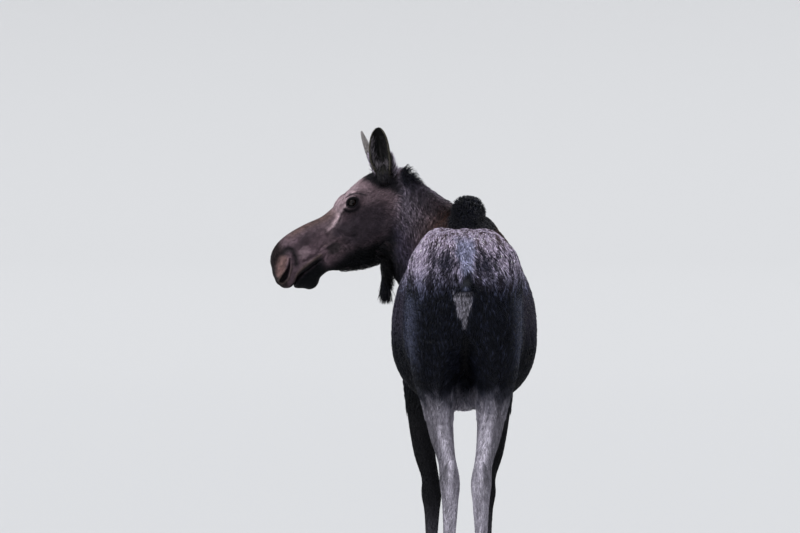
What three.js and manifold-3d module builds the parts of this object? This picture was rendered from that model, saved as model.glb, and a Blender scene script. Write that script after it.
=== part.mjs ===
// A life-size cow moose, standing square on four legs with her neck turned to her left.
// Millimetres, +Z up. She faces +Y, so her right side is +X and her left side is -X.
// Her flesh is one smooth field of blended masses, which is meshed region by region and parted
// by thin flat cuts into the pieces that a person would name.
import * as THREE from "three";
import { mergeVertices } from "three/addons/utils/BufferGeometryUtils.js";
import Module from "manifold-3d";

const wasm = await Module();
wasm.setup();

// ---------- Driving dimensions ----------
const LEFT = -1;
const RIGHT = 1;
const SIDES = [LEFT, RIGHT];
const SIDE_NAME = { [LEFT]: "left", [RIGHT]: "right" };
const JOINT_GAP = 0.4; // space left between two pieces that touch
const POLL = [-284, 950, 1872]; // top of the head between the ears
const HEAD_PITCH = 38.6; // degrees that the face slopes below level
const HEAD_YAW = 12; // degrees that the muzzle is turned back from straight left
const EYE_RADIUS = 20;
const EYE_AT = { t: 227, height: 11 }; // along and above the line from the poll to the nose
const LID = 4.5; // thickness of the eyelids
const EAR = { length: 234, width: 82, wall: 7 };
const CORONET_HEIGHT = 80; // where hide gives way to hoof
const CLAW = { length: 128, width: 44, splay: 5 };
const DEWCLAW = { length: 52, width: 26, height: 118 };
const TAIL_LENGTH = 90;
const BELL_LENGTH = 172; // from the throat to the tips of its hair

// ---------- Small helpers ----------
const vec = (x, y, z) => new THREE.Vector3(x, y, z);
const DOWN = vec(0, 0, -1);
const lerp = THREE.MathUtils.lerp;
const radians = THREE.MathUtils.degToRad;

// A cross-section: its centre, then half its width, and how far it reaches above and below.
// On a leg, whose sections lie flat, above and below mean before and behind.
const section = (x, y, z, wide, above, below = above) => ({
  centre: vec(x, y, z),
  reach: vec(wide, above, below),
});

// ---------- Fields: signed distances, negative inside ----------
const FAR = 120; // past this, a limb's distance is only that to its box

const smoothUnion = (a, b, blend) => {
  const overlap = Math.max(blend - Math.abs(a - b), 0) / blend;
  return Math.min(a, b) - (overlap * overlap * blend) / 4;
};

const smoothCut = (a, b, blend) => -smoothUnion(-a, b, blend);

// A trunk or limb that runs smoothly through its sections; across is the way that its width runs.
function limb(sections, { across = vec(1, 0, 0), square = 2, steps = 4 } = {}) {
  const centres = new THREE.CatmullRomCurve3(sections.map((s) => s.centre), false, "catmullrom");
  const reaches = new THREE.CatmullRomCurve3(sections.map((s) => s.reach), false, "catmullrom");
  const count = (sections.length - 1) * steps;
  const pieces = [];
  const bounds = new THREE.Box3();
  for (let i = 0; i < count; i++) {
    const from = centres.getPoint(i / count);
    const to = centres.getPoint((i + 1) / count);
    const along = to.clone().sub(from);
    const length = along.length();
    along.divideScalar(length);
    const side = across.clone().addScaledVector(along, -across.dot(along)).normalize();
    const over = side.clone().cross(along);
    const first = reaches.getPoint(i / count);
    const last = reaches.getPoint((i + 1) / count);
    const widest = Math.max(first.x, first.y, first.z, last.x, last.y, last.z);
    const bulk = new THREE.Box3().setFromPoints([from, to]).expandByScalar(widest);
    bounds.union(bulk);
    pieces.push({ from, along, length, side, over, first, last, bulk });
  }
  const probe = vec(0, 0, 0);
  return (x, y, z) => {
    probe.set(x, y, z);
    let nearest = bounds.distanceToPoint(probe);
    if (nearest > FAR) return nearest;
    nearest = Infinity;
    for (const s of pieces) {
      if (s.bulk.distanceToPoint(probe) > Math.max(nearest, 0)) continue;
      const px = x - s.from.x;
      const py = y - s.from.y;
      const pz = z - s.from.z;
      const run = px * s.along.x + py * s.along.y + pz * s.along.z;
      const t = Math.min(Math.max(run / s.length, 0), 1);
      const past = run - t * s.length;
      const sideways = px * s.side.x + py * s.side.y + pz * s.side.z;
      const upward = px * s.over.x + py * s.over.y + pz * s.over.z;
      const wide = lerp(s.first.x, s.last.x, t);
      const tall = upward > 0 ? lerp(s.first.y, s.last.y, t) : lerp(s.first.z, s.last.z, t);
      const end = Math.min(wide, tall);
      const ratio =
        (Math.abs(sideways / wide) ** square + Math.abs(upward / tall) ** square +
          Math.abs(past / end) ** square) ** (1 / square);
      const away = Math.hypot(sideways, upward, past);
      nearest = Math.min(nearest, ratio < 1e-6 ? -end : away * (1 - 1 / ratio));
    }
    return nearest;
  };
}

// An egg-shaped mass about a centre, in the axes of its own frame.
function mass(x, y, z, a, b, c) {
  const smallest = Math.min(a, b, c);
  return (px, py, pz) => {
    const dx = px - x;
    const dy = py - y;
    const dz = pz - z;
    const ratio = Math.hypot(dx / a, dy / b, dz / c);
    return ratio < 1e-6 ? -smallest : Math.hypot(dx, dy, dz) * (1 - 1 / ratio);
  };
}

// ---------- Trunk ----------
const trunk = limb(
  [
    section(0, -700, 1372, 94, 84, 122),
    section(-2, -610, 1345, 158, 215, 205),
    section(-2, -470, 1315, 198, 308, 255),
    section(-4, -260, 1262, 236, 340, 272),
    section(2, -10, 1205, 287, 380, 280),
    section(6, 190, 1205, 284, 402, 285),
    section(10, 360, 1225, 246, 446, 285),
    section(6, 500, 1245, 206, 420, 286),
    section(0, 640, 1240, 165, 330, 235),
    section(-6, 740, 1215, 110, 190, 165),
  ],
  { square: 2.3 },
);
const withers = limb([
  section(6, 180, 1500, 60, 92, 100),
  section(14, 330, 1560, 66, 142, 120),
  section(14, 450, 1570, 64, 146, 120),
  section(0, 580, 1560, 62, 126, 120),
]);
// The mane that stands over the withers and thins out along the nape, out to its tips. In the
// flesh's field it has only a core, which reaches less than half way up its locks.
const MANE = [
  section(12, 150, 1602, 36, 26, 40),
  section(22, 300, 1680, 60, 60, 60),
  section(23, 420, 1694, 64, 64, 60),
  section(10, 530, 1690, 52, 52, 60),
  section(-60, 650, 1700, 36, 42, 60),
  section(-130, 745, 1762, 30, 38, 60),
  section(-196, 832, 1810, 28, 46, 60),
  section(-228, 870, 1842, 28, 54, 60),
  section(-262, 905, 1852, 26, 40, 60),
];
const MANE_CORE = 0.45; // share of the mane's height that is solid
const crest = limb(
  MANE.map(({ centre: c, reach: r }) => section(c.x, c.y, c.z, r.x * 0.8, r.y * MANE_CORE, r.z)),
  { across: vec(0.9, 0.43, 0) },
);
const udder = mass(0, -400, 975, 66, 105, 62);
const hips = SIDES.map((side) => mass(side * 108 - 2, -455, 1452, 106, 180, 174));

// ---------- Neck ----------
const neckLine = limb(
  [
    section(0, 430, 1330, 170, 320, 300),
    section(-22, 600, 1410, 140, 268, 290),
    section(-80, 745, 1498, 118, 246, 268),
    section(-160, 855, 1584, 104, 222, 235),
    section(-240, 925, 1655, 94, 200, 200),
    section(-300, 950, 1690, 80, 150, 165),
  ],
  { across: vec(0.84, 0.54, 0) },
);

// ---------- Legs ----------
// Where each foot stands across the body, and how far its leg is moved forward.
const STANCE = {
  hind: { [LEFT]: { x: -66, y: 80 }, [RIGHT]: { x: 62, y: -10 } },
  fore: { [LEFT]: { x: -124, y: -10 }, [RIGHT]: { x: 96, y: 45 } },
};
const HOCK_X = 57;
const FORE_SHIFT = -14; // the forelegs stand a little left of the spine's line

function hindLeg(side) {
  const { x: footX, y } = STANCE.hind[side];
  const x = side * HOCK_X;
  return limb([
    section(side * 92, -500, 1370, 116, 170, 275),
    section(side * 112, -510, 1230, 108, 190, 268),
    section(side * 116, -490 + y * 0.2, 1080, 94, 195, 228),
    section(side * 104, -520 + y * 0.5, 950, 68, 150, 162),
    section(side * 90, -590 + y * 0.8, 830, 49, 86, 92),
    section(side * 70, -660 + y, 730, 37, 54, 58),
    section(x, -708 + y, 648, 44, 54, 58),
    section(x, -712 + y, 575, 36, 46, 44),
    section(lerp(x, footX, 0.4), -706 + y, 450, 27, 31, 33),
    section(lerp(x, footX, 0.7), -698 + y, 320, 26, 30, 31),
    section(footX, -686 + y, 205, 36, 39, 44),
    section(footX, -662 + y, 140, 32, 34, 36),
    section(footX, -634 + y, 84, 44, 48, 46),
    section(footX, -616 + y, 50, 44, 48, 46),
  ]);
}
const hockPoint = (side) => mass(side * HOCK_X, -752 + STANCE.hind[side].y, 690, 21, 24, 52);

function foreLeg(side) {
  const { x: footX, y } = STANCE.fore[side];
  return limb([
    section(side * 78, 400, 1540, 62, 95, 95),
    section(side * 122, 500, 1380, 82, 130, 140),
    section(side * 144 + FORE_SHIFT / 2, 560, 1220, 88, 130, 150),
    section(side * 152 + FORE_SHIFT, 480, 1060, 80, 118, 126),
    section(side * 156 + FORE_SHIFT, 440 + y / 3, 950, 66, 82, 88),
    section(side * 149 + FORE_SHIFT, 435 + y / 2, 850, 57, 66, 66),
    section(side * 138 + FORE_SHIFT, 435 + y * 0.7, 730, 46, 52, 50),
    section(side * 116 + FORE_SHIFT, 435 + y * 0.9, 630, 38, 43, 43),
    section(side * 110 + FORE_SHIFT, 440 + y, 560, 43, 48, 42),
    section(side * 108 + FORE_SHIFT, 437 + y, 480, 33, 36, 36),
    section(footX, 432 + y, 340, 26, 29, 29),
    section(footX, 432 + y, 205, 36, 39, 44),
    section(footX, 458 + y, 140, 32, 34, 36),
    section(footX, 488 + y, 84, 44, 48, 46),
    section(footX, 506 + y, 50, 44, 48, 46),
  ]);
}
// The middle of each foot at the coronet.
const FOOT = {
  hind: (side) => ({ x: STANCE.hind[side].x, y: -626 + STANCE.hind[side].y }),
  fore: (side) => ({ x: STANCE.fore[side].x, y: 496 + STANCE.fore[side].y }),
};
const legs = SIDES.flatMap((side) => [hindLeg(side), foreLeg(side)]);
const hockPoints = SIDES.map(hockPoint);

// ---------- Head, in its own frame: +X to the nose, +Y to her left, +Z out of the brow ----------
const headFrame = new THREE.Matrix4();
{
  const pitch = radians(HEAD_PITCH);
  const yaw = radians(HEAD_YAW);
  const flat = Math.cos(pitch);
  const toNose = vec(-flat * Math.cos(yaw), -flat * Math.sin(yaw), -Math.sin(pitch));
  const toLeft = vec(0, 0, 1).cross(toNose).normalize();
  headFrame.makeBasis(toNose, toLeft, toNose.clone().cross(toLeft)).setPosition(...POLL);
}
const worldToHead = headFrame.clone().invert();
const fromHead = (t, lateral, height) => vec(t, lateral, height).applyMatrix4(headFrame);

// A section of the head, from its top line, its bottom line and its half width.
const slice = (t, top, bottom, wide) => section(t, 0, (top + bottom) / 2, wide, (top - bottom) / 2);
const headAxes = { across: vec(0, -1, 0), square: 2.3 };
const skull = limb(
  [
    slice(36, 26, -150, 58),
    slice(95, 50, -180, 74),
    slice(150, 56, -195, 80),
    slice(205, 45, -205, 80),
    slice(260, 34, -205, 74),
    slice(320, 32, -195, 65),
    slice(380, 42, -168, 59),
    slice(440, 58, -138, 56),
    slice(500, 67, -118, 58),
    slice(552, 58, -106, 61),
    slice(590, 34, -102, 60),
    slice(610, 8, -98, 50),
  ],
  headAxes,
);
const jaw = limb(
  [
    slice(150, -120, -258, 60),
    slice(230, -150, -268, 57),
    slice(310, -150, -250, 50),
    slice(390, -130, -206, 43),
    slice(460, -104, -156, 38),
    slice(530, -100, -148, 36),
  ],
  headAxes,
);
const chin = mass(552, 0, -130, 44, 37, 36);
const paired = (t, lateral, height, a, b, c) =>
  SIDES.map((side) => mass(t, side * lateral, height, a, b, c));
const bulges = [
  { masses: paired(226, 58, 14, 60, 32, 33), blend: 32 }, // orbits
  { masses: paired(190, 44, -165, 105, 38, 88), blend: 40 }, // cheeks
  { masses: paired(604, 36, -34, 34, 27, 40), blend: 20 }, // nostril wings
  { masses: paired(520, 36, -62, 70, 26, 30), blend: 24 }, // upper lip
];
const cheekHollows = paired(318, 82, -34, 70, 22, 22);

function headField(t, lateral, height) {
  let d = smoothUnion(skull(t, lateral, height), jaw(t, lateral, height), 30);
  d = smoothUnion(d, chin(t, lateral, height), 12);
  for (const { masses, blend } of bulges)
    for (const bulge of masses) d = smoothUnion(d, bulge(t, lateral, height), blend);
  for (const hollow of cheekHollows) d = smoothCut(d, hollow(t, lateral, height), 30);
  return d;
}

// How far to the side the head's surface lies at a place along and above its line.
function headWidth(t, height) {
  let outside = 160;
  let inside = 0;
  while (outside - inside > 0.1) {
    const middle = (outside + inside) / 2;
    if (headField(t, middle, height) > 0) outside = middle;
    else inside = middle;
  }
  return outside;
}

// ---------- The whole body's field ----------
const probe = vec(0, 0, 0);
function bodyField(x, y, z) {
  let d = smoothUnion(trunk(x, y, z), withers(x, y, z), 90);
  for (const hip of hips) d = smoothUnion(d, hip(x, y, z), 70);
  d = smoothUnion(d, udder(x, y, z), 60);
  d = smoothUnion(d, neckLine(x, y, z), 80);
  for (const leg of legs) d = smoothUnion(d, leg(x, y, z), 60);
  d = smoothUnion(d, crest(x, y, z), 26);
  for (const point of hockPoints) d = smoothUnion(d, point(x, y, z), 24);
  probe.set(x, y, z).applyMatrix4(worldToHead);
  return smoothUnion(d, headField(probe.x, probe.y, probe.z), 50);
}

// ---------- Meshing ----------
// Even marks from low to high, no further apart than step, and one more past each end.
function marks(low, high, step) {
  const stepAt = typeof step === "function" ? step : () => step;
  const lines = [low - stepAt(low)];
  while (lines.at(-1) < high) lines.push(lines.at(-1) + stepAt(lines.at(-1)));
  return [...lines, lines.at(-1) + stepAt(high)];
}

const bit = (corner, axis) => (corner >> axis) & 1;
// A cell's twelve edges are numbered by the way they run and the lower corner they start from.
const edgeOf = (axis, corner) => axis * 4 + bit(corner, (axis + 1) % 3) + 2 * bit(corner, (axis + 2) % 3);

// Groups a cell's crossed edges into sheets, so that each sheet gets a vertex of its own. On each
// face the crossed edges are joined round its inside corners, the same way from both its cells.
function sheetsOf(inside) {
  const sheet = Array.from({ length: 12 }, (_, edge) => edge);
  const find = (edge) => (sheet[edge] === edge ? edge : find(sheet[edge]));
  for (let facing = 0; facing < 3; facing++)
    for (const level of [0, 1]) {
      const u = (facing + 1) % 3;
      const v = (facing + 2) % 3;
      const low = level << facing;
      const ring = [low, low | (1 << u), low | (1 << u) | (1 << v), low | (1 << v)];
      const edges = [edgeOf(u, ring[0]), edgeOf(v, ring[1]), edgeOf(u, ring[3]), edgeOf(v, ring[0])];
      const crossed = edges.filter((_, i) => inside[ring[i]] !== inside[ring[(i + 1) % 4]]);
      if (crossed.length === 2) sheet[find(crossed[0])] = find(crossed[1]);
      if (crossed.length < 4) continue;
      ring.forEach((corner, i) => {
        if (inside[corner]) sheet[find(edges[i])] = find(edges[(i + 3) % 4]);
      });
    }
  return find;
}

// The closed surface where a field is zero: a vertex for each sheet in each cell, and a quad round
// each edge that the surface crosses, split along its shorter diagonal.
function surface(field, xs, ys, zs) {
  const axes = [xs, ys, zs];
  const stride = [1, xs.length, xs.length * ys.length];
  const value = new Float64Array(xs.length * ys.length * zs.length);
  let n = 0;
  for (const z of zs) for (const y of ys) for (const x of xs) value[n++] = field(x, y, z);
  const gridIndex = (i, j, k) => i + j * stride[1] + k * stride[2];
  const cornerIndex = (base, corner) =>
    base + bit(corner, 0) + bit(corner, 1) * stride[1] + bit(corner, 2) * stride[2];
  const position = [];
  const vertexAt = new Map();

  function meshCell(i, j, k) {
    const base = gridIndex(i, j, k);
    const inside = Array.from({ length: 8 }, (_, corner) => value[cornerIndex(base, corner)] < 0);
    if (inside.every((is) => is === inside[0])) return;
    const find = sheetsOf(inside);
    const sums = new Map();
    const crossed = [];
    for (let axis = 0; axis < 3; axis++)
      for (let corner = 0; corner < 8; corner++) {
        if (bit(corner, axis) || inside[corner] === inside[corner | (1 << axis)]) continue;
        const edge = edgeOf(axis, corner);
        const from = value[cornerIndex(base, corner)];
        const to = value[cornerIndex(base, corner | (1 << axis))];
        const at = [i, j, k].map((low, c) => axes[c][low + bit(corner, c)]);
        at[axis] = lerp(axes[axis][[i, j, k][axis]], axes[axis][[i, j, k][axis] + 1], from / (from - to));
        const sum = sums.get(find(edge)) ?? { total: vec(0, 0, 0), count: 0 };
        sum.total.add(vec(...at));
        sum.count++;
        sums.set(find(edge), sum);
        crossed.push(edge);
      }
    for (const sum of sums.values()) {
      sum.vertex = position.length / 3;
      position.push(...sum.total.divideScalar(sum.count).toArray());
    }
    for (const edge of crossed) vertexAt.set(base * 12 + edge, sums.get(find(edge)).vertex);
  }

  for (let k = 0; k < zs.length - 1; k++)
    for (let j = 0; j < ys.length - 1; j++) for (let i = 0; i < xs.length - 1; i++) meshCell(i, j, k);

  const index = [];
  const span = (a, b) =>
    Math.hypot(...[0, 1, 2].map((c) => position[3 * a + c] - position[3 * b + c]));
  function meshEdge(base, axis) {
    const inside = value[base] < 0;
    if (inside === value[base + stride[axis]] < 0) return;
    const u = stride[(axis + 1) % 3];
    const v = stride[(axis + 2) % 3];
    const first = axis * 4;
    const quad = [
      vertexAt.get(base * 12 + first),
      vertexAt.get((base - u) * 12 + first + 1),
      vertexAt.get((base - u - v) * 12 + first + 3),
      vertexAt.get((base - v) * 12 + first + 2),
    ];
    const [a, b, c, d] = inside ? quad : quad.reverse();
    if (span(a, c) <= span(b, d)) index.push(a, b, c, a, c, d);
    else index.push(b, c, d, b, d, a);
  }
  for (let k = 1; k < zs.length - 1; k++)
    for (let j = 1; j < ys.length - 1; j++)
      for (let i = 1; i < xs.length - 1; i++)
        for (let axis = 0; axis < 3; axis++) meshEdge(gridIndex(i, j, k), axis);

  const geometry = new THREE.BufferGeometry();
  geometry.setAttribute("position", new THREE.Float32BufferAttribute(position, 3));
  geometry.setIndex(index);
  return geometry;
}

// ---------- Solids ----------
function solidOf(geometry) {
  const bare = new THREE.BufferGeometry();
  bare.setAttribute("position", geometry.getAttribute("position"));
  if (geometry.index) bare.setIndex(geometry.index);
  const merged = mergeVertices(bare, 1e-4);
  return new wasm.Manifold(
    new wasm.Mesh({
      numProp: 3,
      vertProperties: merged.attributes.position.array,
      triVerts: new Uint32Array(merged.index.array),
    }),
  );
}

function geometryOf(solid) {
  const mesh = solid.getMesh();
  const geometry = new THREE.BufferGeometry();
  geometry.setAttribute("position", new THREE.BufferAttribute(mesh.vertProperties, 3));
  geometry.setIndex(new THREE.BufferAttribute(mesh.triVerts, 1));
  return geometry;
}

const largest = (solid) =>
  solid.decompose().reduce((best, each) => (each.volume() > best.volume() ? each : best));

// A closed skin over rings that have the same number of points, with flat ends.
function loft(rings) {
  const size = rings[0].length;
  const position = rings.flat().flatMap((p) => p.toArray());
  const index = [];
  for (let r = 0; r + 1 < rings.length; r++)
    for (let i = 0; i < size; i++) {
      const a = r * size + i;
      const b = r * size + ((i + 1) % size);
      index.push(a, b, b + size, a, b + size, a + size);
    }
  const top = (rings.length - 1) * size;
  for (let i = 1; i + 1 < size; i++) {
    index.push(0, i + 1, i);
    index.push(top, top + i, top + i + 1);
  }
  const geometry = new THREE.BufferGeometry();
  geometry.setAttribute("position", new THREE.Float32BufferAttribute(position, 3));
  geometry.setIndex(index);
  const solid = solidOf(geometry);
  if (solid.volume() > 0) return solid;
  for (let i = 0; i < index.length; i += 3) [index[i], index[i + 1]] = [index[i + 1], index[i]];
  geometry.setIndex(index);
  return solidOf(geometry);
}

// A cut is a plane through a point; a piece keeps the side that its normal points to.
const cut = (point, normal) => ({ point, normal: normal.clone().normalize() });
const flip = ({ point, normal }) => ({ point, normal: normal.clone().negate() });
const ahead = ({ point, normal }, x, y, z) =>
  normal.x * (x - point.x) + normal.y * (y - point.y) + normal.z * (z - point.z);
const trim = (solid, cuts, gap) =>
  cuts.reduce(
    (kept, { point, normal }) => kept.trimByPlane(normal.toArray(), normal.dot(point) + gap),
    solid,
  );

// A piece that stands on a base, drawn back from it by the gap in the given direction.
function seated(piece, base, away) {
  const drawn = away.clone().setLength(JOINT_GAP).toArray();
  return largest(piece.subtract(base).subtract(base.translate(drawn)));
}

// Coarse points in and close round the body, from which each piece's own box is found.
const SCAN = 40;
const scanned = [];
for (let z = 0; z <= 2000; z += SCAN)
  for (let y = -960; y <= 1200; y += SCAN)
    for (let x = -920; x <= 400; x += SCAN) if (bodyField(x, y, z) < SCAN) scanned.push(vec(x, y, z));

// The flesh on the kept side of every cut, in cells of the given size along the frame's axes.
function flesh(cuts, cell, frame = new THREE.Matrix4()) {
  const spare = 56; // meshed past each cut, then trimmed flat
  const at = vec(0, 0, 0);
  const bounded = (x, y, z) => {
    at.set(x, y, z).applyMatrix4(frame);
    const body = bodyField(at.x, at.y, at.z);
    return cuts.reduce((d, each) => Math.max(d, -ahead(each, at.x, at.y, at.z) - spare), body);
  };
  const near = scanned.filter((p) => cuts.every((each) => ahead(each, p.x, p.y, p.z) > -spare - SCAN));
  const toLocal = frame.clone().invert();
  const box = new THREE.Box3().setFromPoints(near.map((p) => p.clone().applyMatrix4(toLocal)));
  const grid = ["x", "y", "z"].map((axis, i) => marks(box.min[axis], box.max[axis], cell[i]));
  const meshed = solidOf(surface(bounded, ...grid)).transform(frame.elements);
  return largest(trim(meshed, cuts, JOINT_GAP / 2));
}

// ---------- Where the flesh is parted ----------
const NECK_CUT = cut(vec(-15, 560, 1400), vec(-0.2, 0.9, 0.42));
const HEAD_CUT = cut(vec(-262, 925, 1680), vec(-0.97, 0.15, 0.05));
const sideCut = (side) => cut(vec(0, 0, 0), vec(side, 0, 0));
const hindCuts = (side) => [
  cut(vec(side * 20, -480, 1010), vec(side * 0.72, 0, -0.69)),
  cut(vec(0, -300, 1060), vec(0, -0.83, -0.55)),
];
const foreCuts = (side) => [
  cut(vec(side * 60, 470, 960), vec(side * 0.72, 0, -0.69)),
  cut(vec(0, 300, 1000), vec(0, 0.9, -0.42)),
];
const STIFLE_CUT = cut(vec(0, -520, 905), vec(0, -0.3, -0.95)); // between the thigh and the gaskin
const ELBOW_CUT = cut(vec(0, 440, 900), vec(0, 0, -1));
const FOOT_CUT = cut(vec(0, 0, CORONET_HEIGHT), vec(0, 0, 1));
const BEHIND = cut(vec(0, -120, 0), vec(0, -1, 0)); // parts the hind legs from the forelegs

// The neck, the torso and the upper legs share one mesh, so that they match at every cut.
const ABOVE_LOWER_LEGS = cut(vec(0, 0, 860), vec(0, 0, 1));
const finerBelow = (z) => (z < 1080 ? 48 : 62);
const trunkAndLimbs = flesh([flip(HEAD_CUT), ABOVE_LOWER_LEGS], [45, 60, finerBelow]);
const withoutNeck = trim(trunkAndLimbs, [flip(NECK_CUT)], JOINT_GAP / 2);

const upperLegCuts = {
  hind: (side) => [...hindCuts(side), sideCut(side), BEHIND],
  fore: (side) => [...foreCuts(side), sideCut(side), flip(BEHIND)],
};
const everywhere = solidOf(new THREE.BoxGeometry(4000, 4000, 4000));
const legWedges = SIDES.flatMap((side) =>
  Object.values(upperLegCuts).map((cuts) => trim(everywhere, cuts(side), -JOINT_GAP / 2)),
);
const bareTorso = legWedges.reduce((solid, wedge) => solid.subtract(wedge), withoutNeck);

// ---------- Head ----------
const ellipsoid = (a, b, c, around = 12, rows = 8) =>
  new THREE.SphereGeometry(1, around, rows).scale(a, b, c);
const inHead = (geometry) => solidOf(geometry).transform(headFrame.elements);

function eyeball(side, radius) {
  const { t, height } = EYE_AT;
  const lateral = -side * (headWidth(t, height) - EYE_RADIUS * 0.95);
  return inHead(ellipsoid(radius, radius, radius, 12, 8).translate(t, lateral, height));
}

// The almond between the lids, as a bar that runs out sideways from the middle of the eye.
function eyeOpening(side) {
  const { t, height } = EYE_AT;
  const lower = [[21, -6], [11, -11], [-2, -12], [-13, -8]];
  const upper = [[-19, 1], [-12, 10], [0, 13], [12, 9]];
  const outline = new THREE.Shape([...lower, ...upper].map(([t, h]) => new THREE.Vector2(t, h)));
  const bar = new THREE.ExtrudeGeometry(outline, { depth: 60, bevelEnabled: false, steps: 1 });
  bar.rotateX(Math.PI / 2); // the outline's up is the head's up, and the bar runs to -Y
  const start = headWidth(t, height) - EYE_RADIUS;
  if (side === RIGHT) return inHead(bar.translate(t, -start, height));
  return inHead(bar.translate(t, start + 60, height));
}

function nostril(side) {
  const slit = ellipsoid(46, 26, 10).rotateX(-side * 0.25).rotateY(radians(25));
  return inHead(slit.translate(612, -side * (headWidth(612, -34) - 2), -34));
}

// The line between the lips: a thin curved slab from one corner of the mouth to the other.
function mouthLine() {
  const line = [[470, -97], [492, -90], [519, -84], [573, -85], [599, -90], [650, -112]];
  const thickness = 3.5;
  const outline = new THREE.Shape([
    ...line.map(([t, height]) => new THREE.Vector2(t, height)),
    ...line.reverse().map(([t, height]) => new THREE.Vector2(t, height - thickness)),
  ]);
  const slab = new THREE.ExtrudeGeometry(outline, { depth: 200, bevelEnabled: false, steps: 1 });
  slab.rotateX(Math.PI / 2).translate(0, 100, 0);
  const core = ellipsoid(118, 34, 60, 16, 8).translate(494, 0, -94);
  return inHead(slab).subtract(inHead(core));
}

function headWithFeatures() {
  const finerAtEyeAndMuzzle = (t) => (t > 430 ? 21 : t > 160 && t < 285 ? 23 : 34);
  let solid = flesh([HEAD_CUT], [finerAtEyeAndMuzzle, 23, 24], headFrame);
  for (const side of SIDES) {
    solid = solid.add(eyeball(side, EYE_RADIUS + LID)).subtract(eyeball(side, EYE_RADIUS + JOINT_GAP));
    solid = solid.subtract(eyeOpening(side)).subtract(nostril(side));
  }
  solid = joined(solid.subtract(mouthLine()), jawLocks());
  return trim(solid, [HEAD_CUT], JOINT_GAP / 2);
}

// ---------- Locks of long hair ----------
let drawn = 7; // the state of a small seeded random draw
function draw(low, high) {
  drawn = (drawn * 16807) % 2147483647;
  return lerp(low, high, drawn / 2147483647);
}

// The point where a line from outside first meets a field's surface, and the surface's normal there.
function touch(field, start, direction) {
  const p = start.clone();
  for (let d = field(p.x, p.y, p.z); d > 0.3; d = field(p.x, p.y, p.z))
    p.addScaledVector(direction, Math.max(d * 0.5, 0.3));
  const step = 2;
  const normal = vec(
    field(p.x + step, p.y, p.z) - field(p.x - step, p.y, p.z),
    field(p.x, p.y + step, p.z) - field(p.x, p.y - step, p.z),
    field(p.x, p.y, p.z + step) - field(p.x, p.y, p.z - step),
  ).normalize();
  return { at: p, normal };
}

// A flat lock that leaves the skin, bends over along its lie and tapers to a tip.
function lock({ at, normal }, lie, { length, width, thick, lift, sink = 14, rings = 5 }) {
  const along = lie.clone().addScaledVector(normal, -lie.dot(normal)).normalize();
  const sideways = normal.clone().cross(along);
  const sway = draw(-0.14, 0.14) * length;
  const broad = (s) => (s < 0.3 ? 0.8 + 0.67 * s : 1.02 - 0.92 * ((s - 0.3) / 0.7) ** 2);
  const deep = (s) => 1 - 0.8 * s ** 2;
  const height = (s) => (lift + sink) * (1 - (1 - s) ** 2) - sink - 0.45 * lift * s ** 3;
  const centre = (s) =>
    at
      .clone()
      .addScaledVector(along, length * s * (0.6 + 0.4 * s))
      .addScaledVector(normal, height(s))
      .addScaledVector(sideways, sway * s * s);
  const ring = (_, i) => {
    const s = (i / (rings - 1)) ** 0.9;
    const run = centre(s + 0.01).sub(centre(s - 0.01)).normalize();
    const over = run.clone().cross(sideways).normalize();
    const half = (width / 2) * broad(s);
    const depth = (thick / 2) * deep(s);
    return [
      centre(s).addScaledVector(sideways, half),
      centre(s).addScaledVector(over, depth),
      centre(s).addScaledVector(sideways, -half),
      centre(s).addScaledVector(over, -depth),
    ];
  };
  return loft(Array.from({ length: rings }, ring));
}
const joined = (core, locks) => largest(wasm.Manifold.union([core, ...locks]));

// The mane's locks, in staggered rows across it from the back to the poll. Each row rises to the
// mane's own height, and the locks to the side lean a little outwards.
function maneLocks() {
  const path = new THREE.CatmullRomCurve3(MANE.map((each) => each.centre));
  const reaches = new THREE.CatmullRomCurve3(MANE.map((each) => each.reach));
  const rows = 14;
  const locks = [];
  for (let row = 0; row < rows; row++) {
    const u = ((row + 0.5) / rows) ** 1.2; // closest over the withers
    const middle = path.getPoint(u);
    const { x: wide, y: tall } = reaches.getPoint(u);
    const back = path.getTangent(u).negate();
    const across = vec(-back.y, back.x, 0).normalize();
    const above = middle.clone().setZ(middle.z + 160);
    const rise = middle.z + tall - touch(bodyField, above, DOWN).at.z;
    const columns = (wide > 44 ? 3 : 2) + (row % 2);
    for (let column = 0; column < columns; column++) {
      const aside = lerp(-0.8, 0.8, column / (columns - 1));
      const root = touch(bodyField, above.clone().addScaledVector(across, aside * wide), DOWN);
      const lie = back.clone().addScaledVector(across, aside * 0.25 + draw(-0.12, 0.12));
      const length = draw(0.9, 1.15) * lerp(58, 92, THREE.MathUtils.smoothstep(wide, 26, 60));
      const lift = THREE.MathUtils.clamp(rise * (1.3 - 0.5 * Math.abs(aside)), 9, 44);
      locks.push({ root, solid: lock(root, lie, { length, width: 50, thick: 11, lift }) });
    }
  }
  return locks;
}

// A short fringe under each side of the jaw.
function jawLocks() {
  const locks = [];
  for (const side of SIDES)
    for (let i = 0; i < 5; i++) {
      const below = fromHead(lerp(228, 372, i / 4), side * 22, -340);
      const up = fromHead(0, 0, 1).sub(fromHead(0, 0, 0));
      const root = touch(bodyField, below, up);
      const lie = fromHead(-1, side * 0.2, -0.9).sub(fromHead(0, 0, 0));
      locks.push(lock(root, lie, { length: draw(30, 40), width: 24, thick: 7, lift: 13, sink: 9 }));
    }
  return locks;
}

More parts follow.
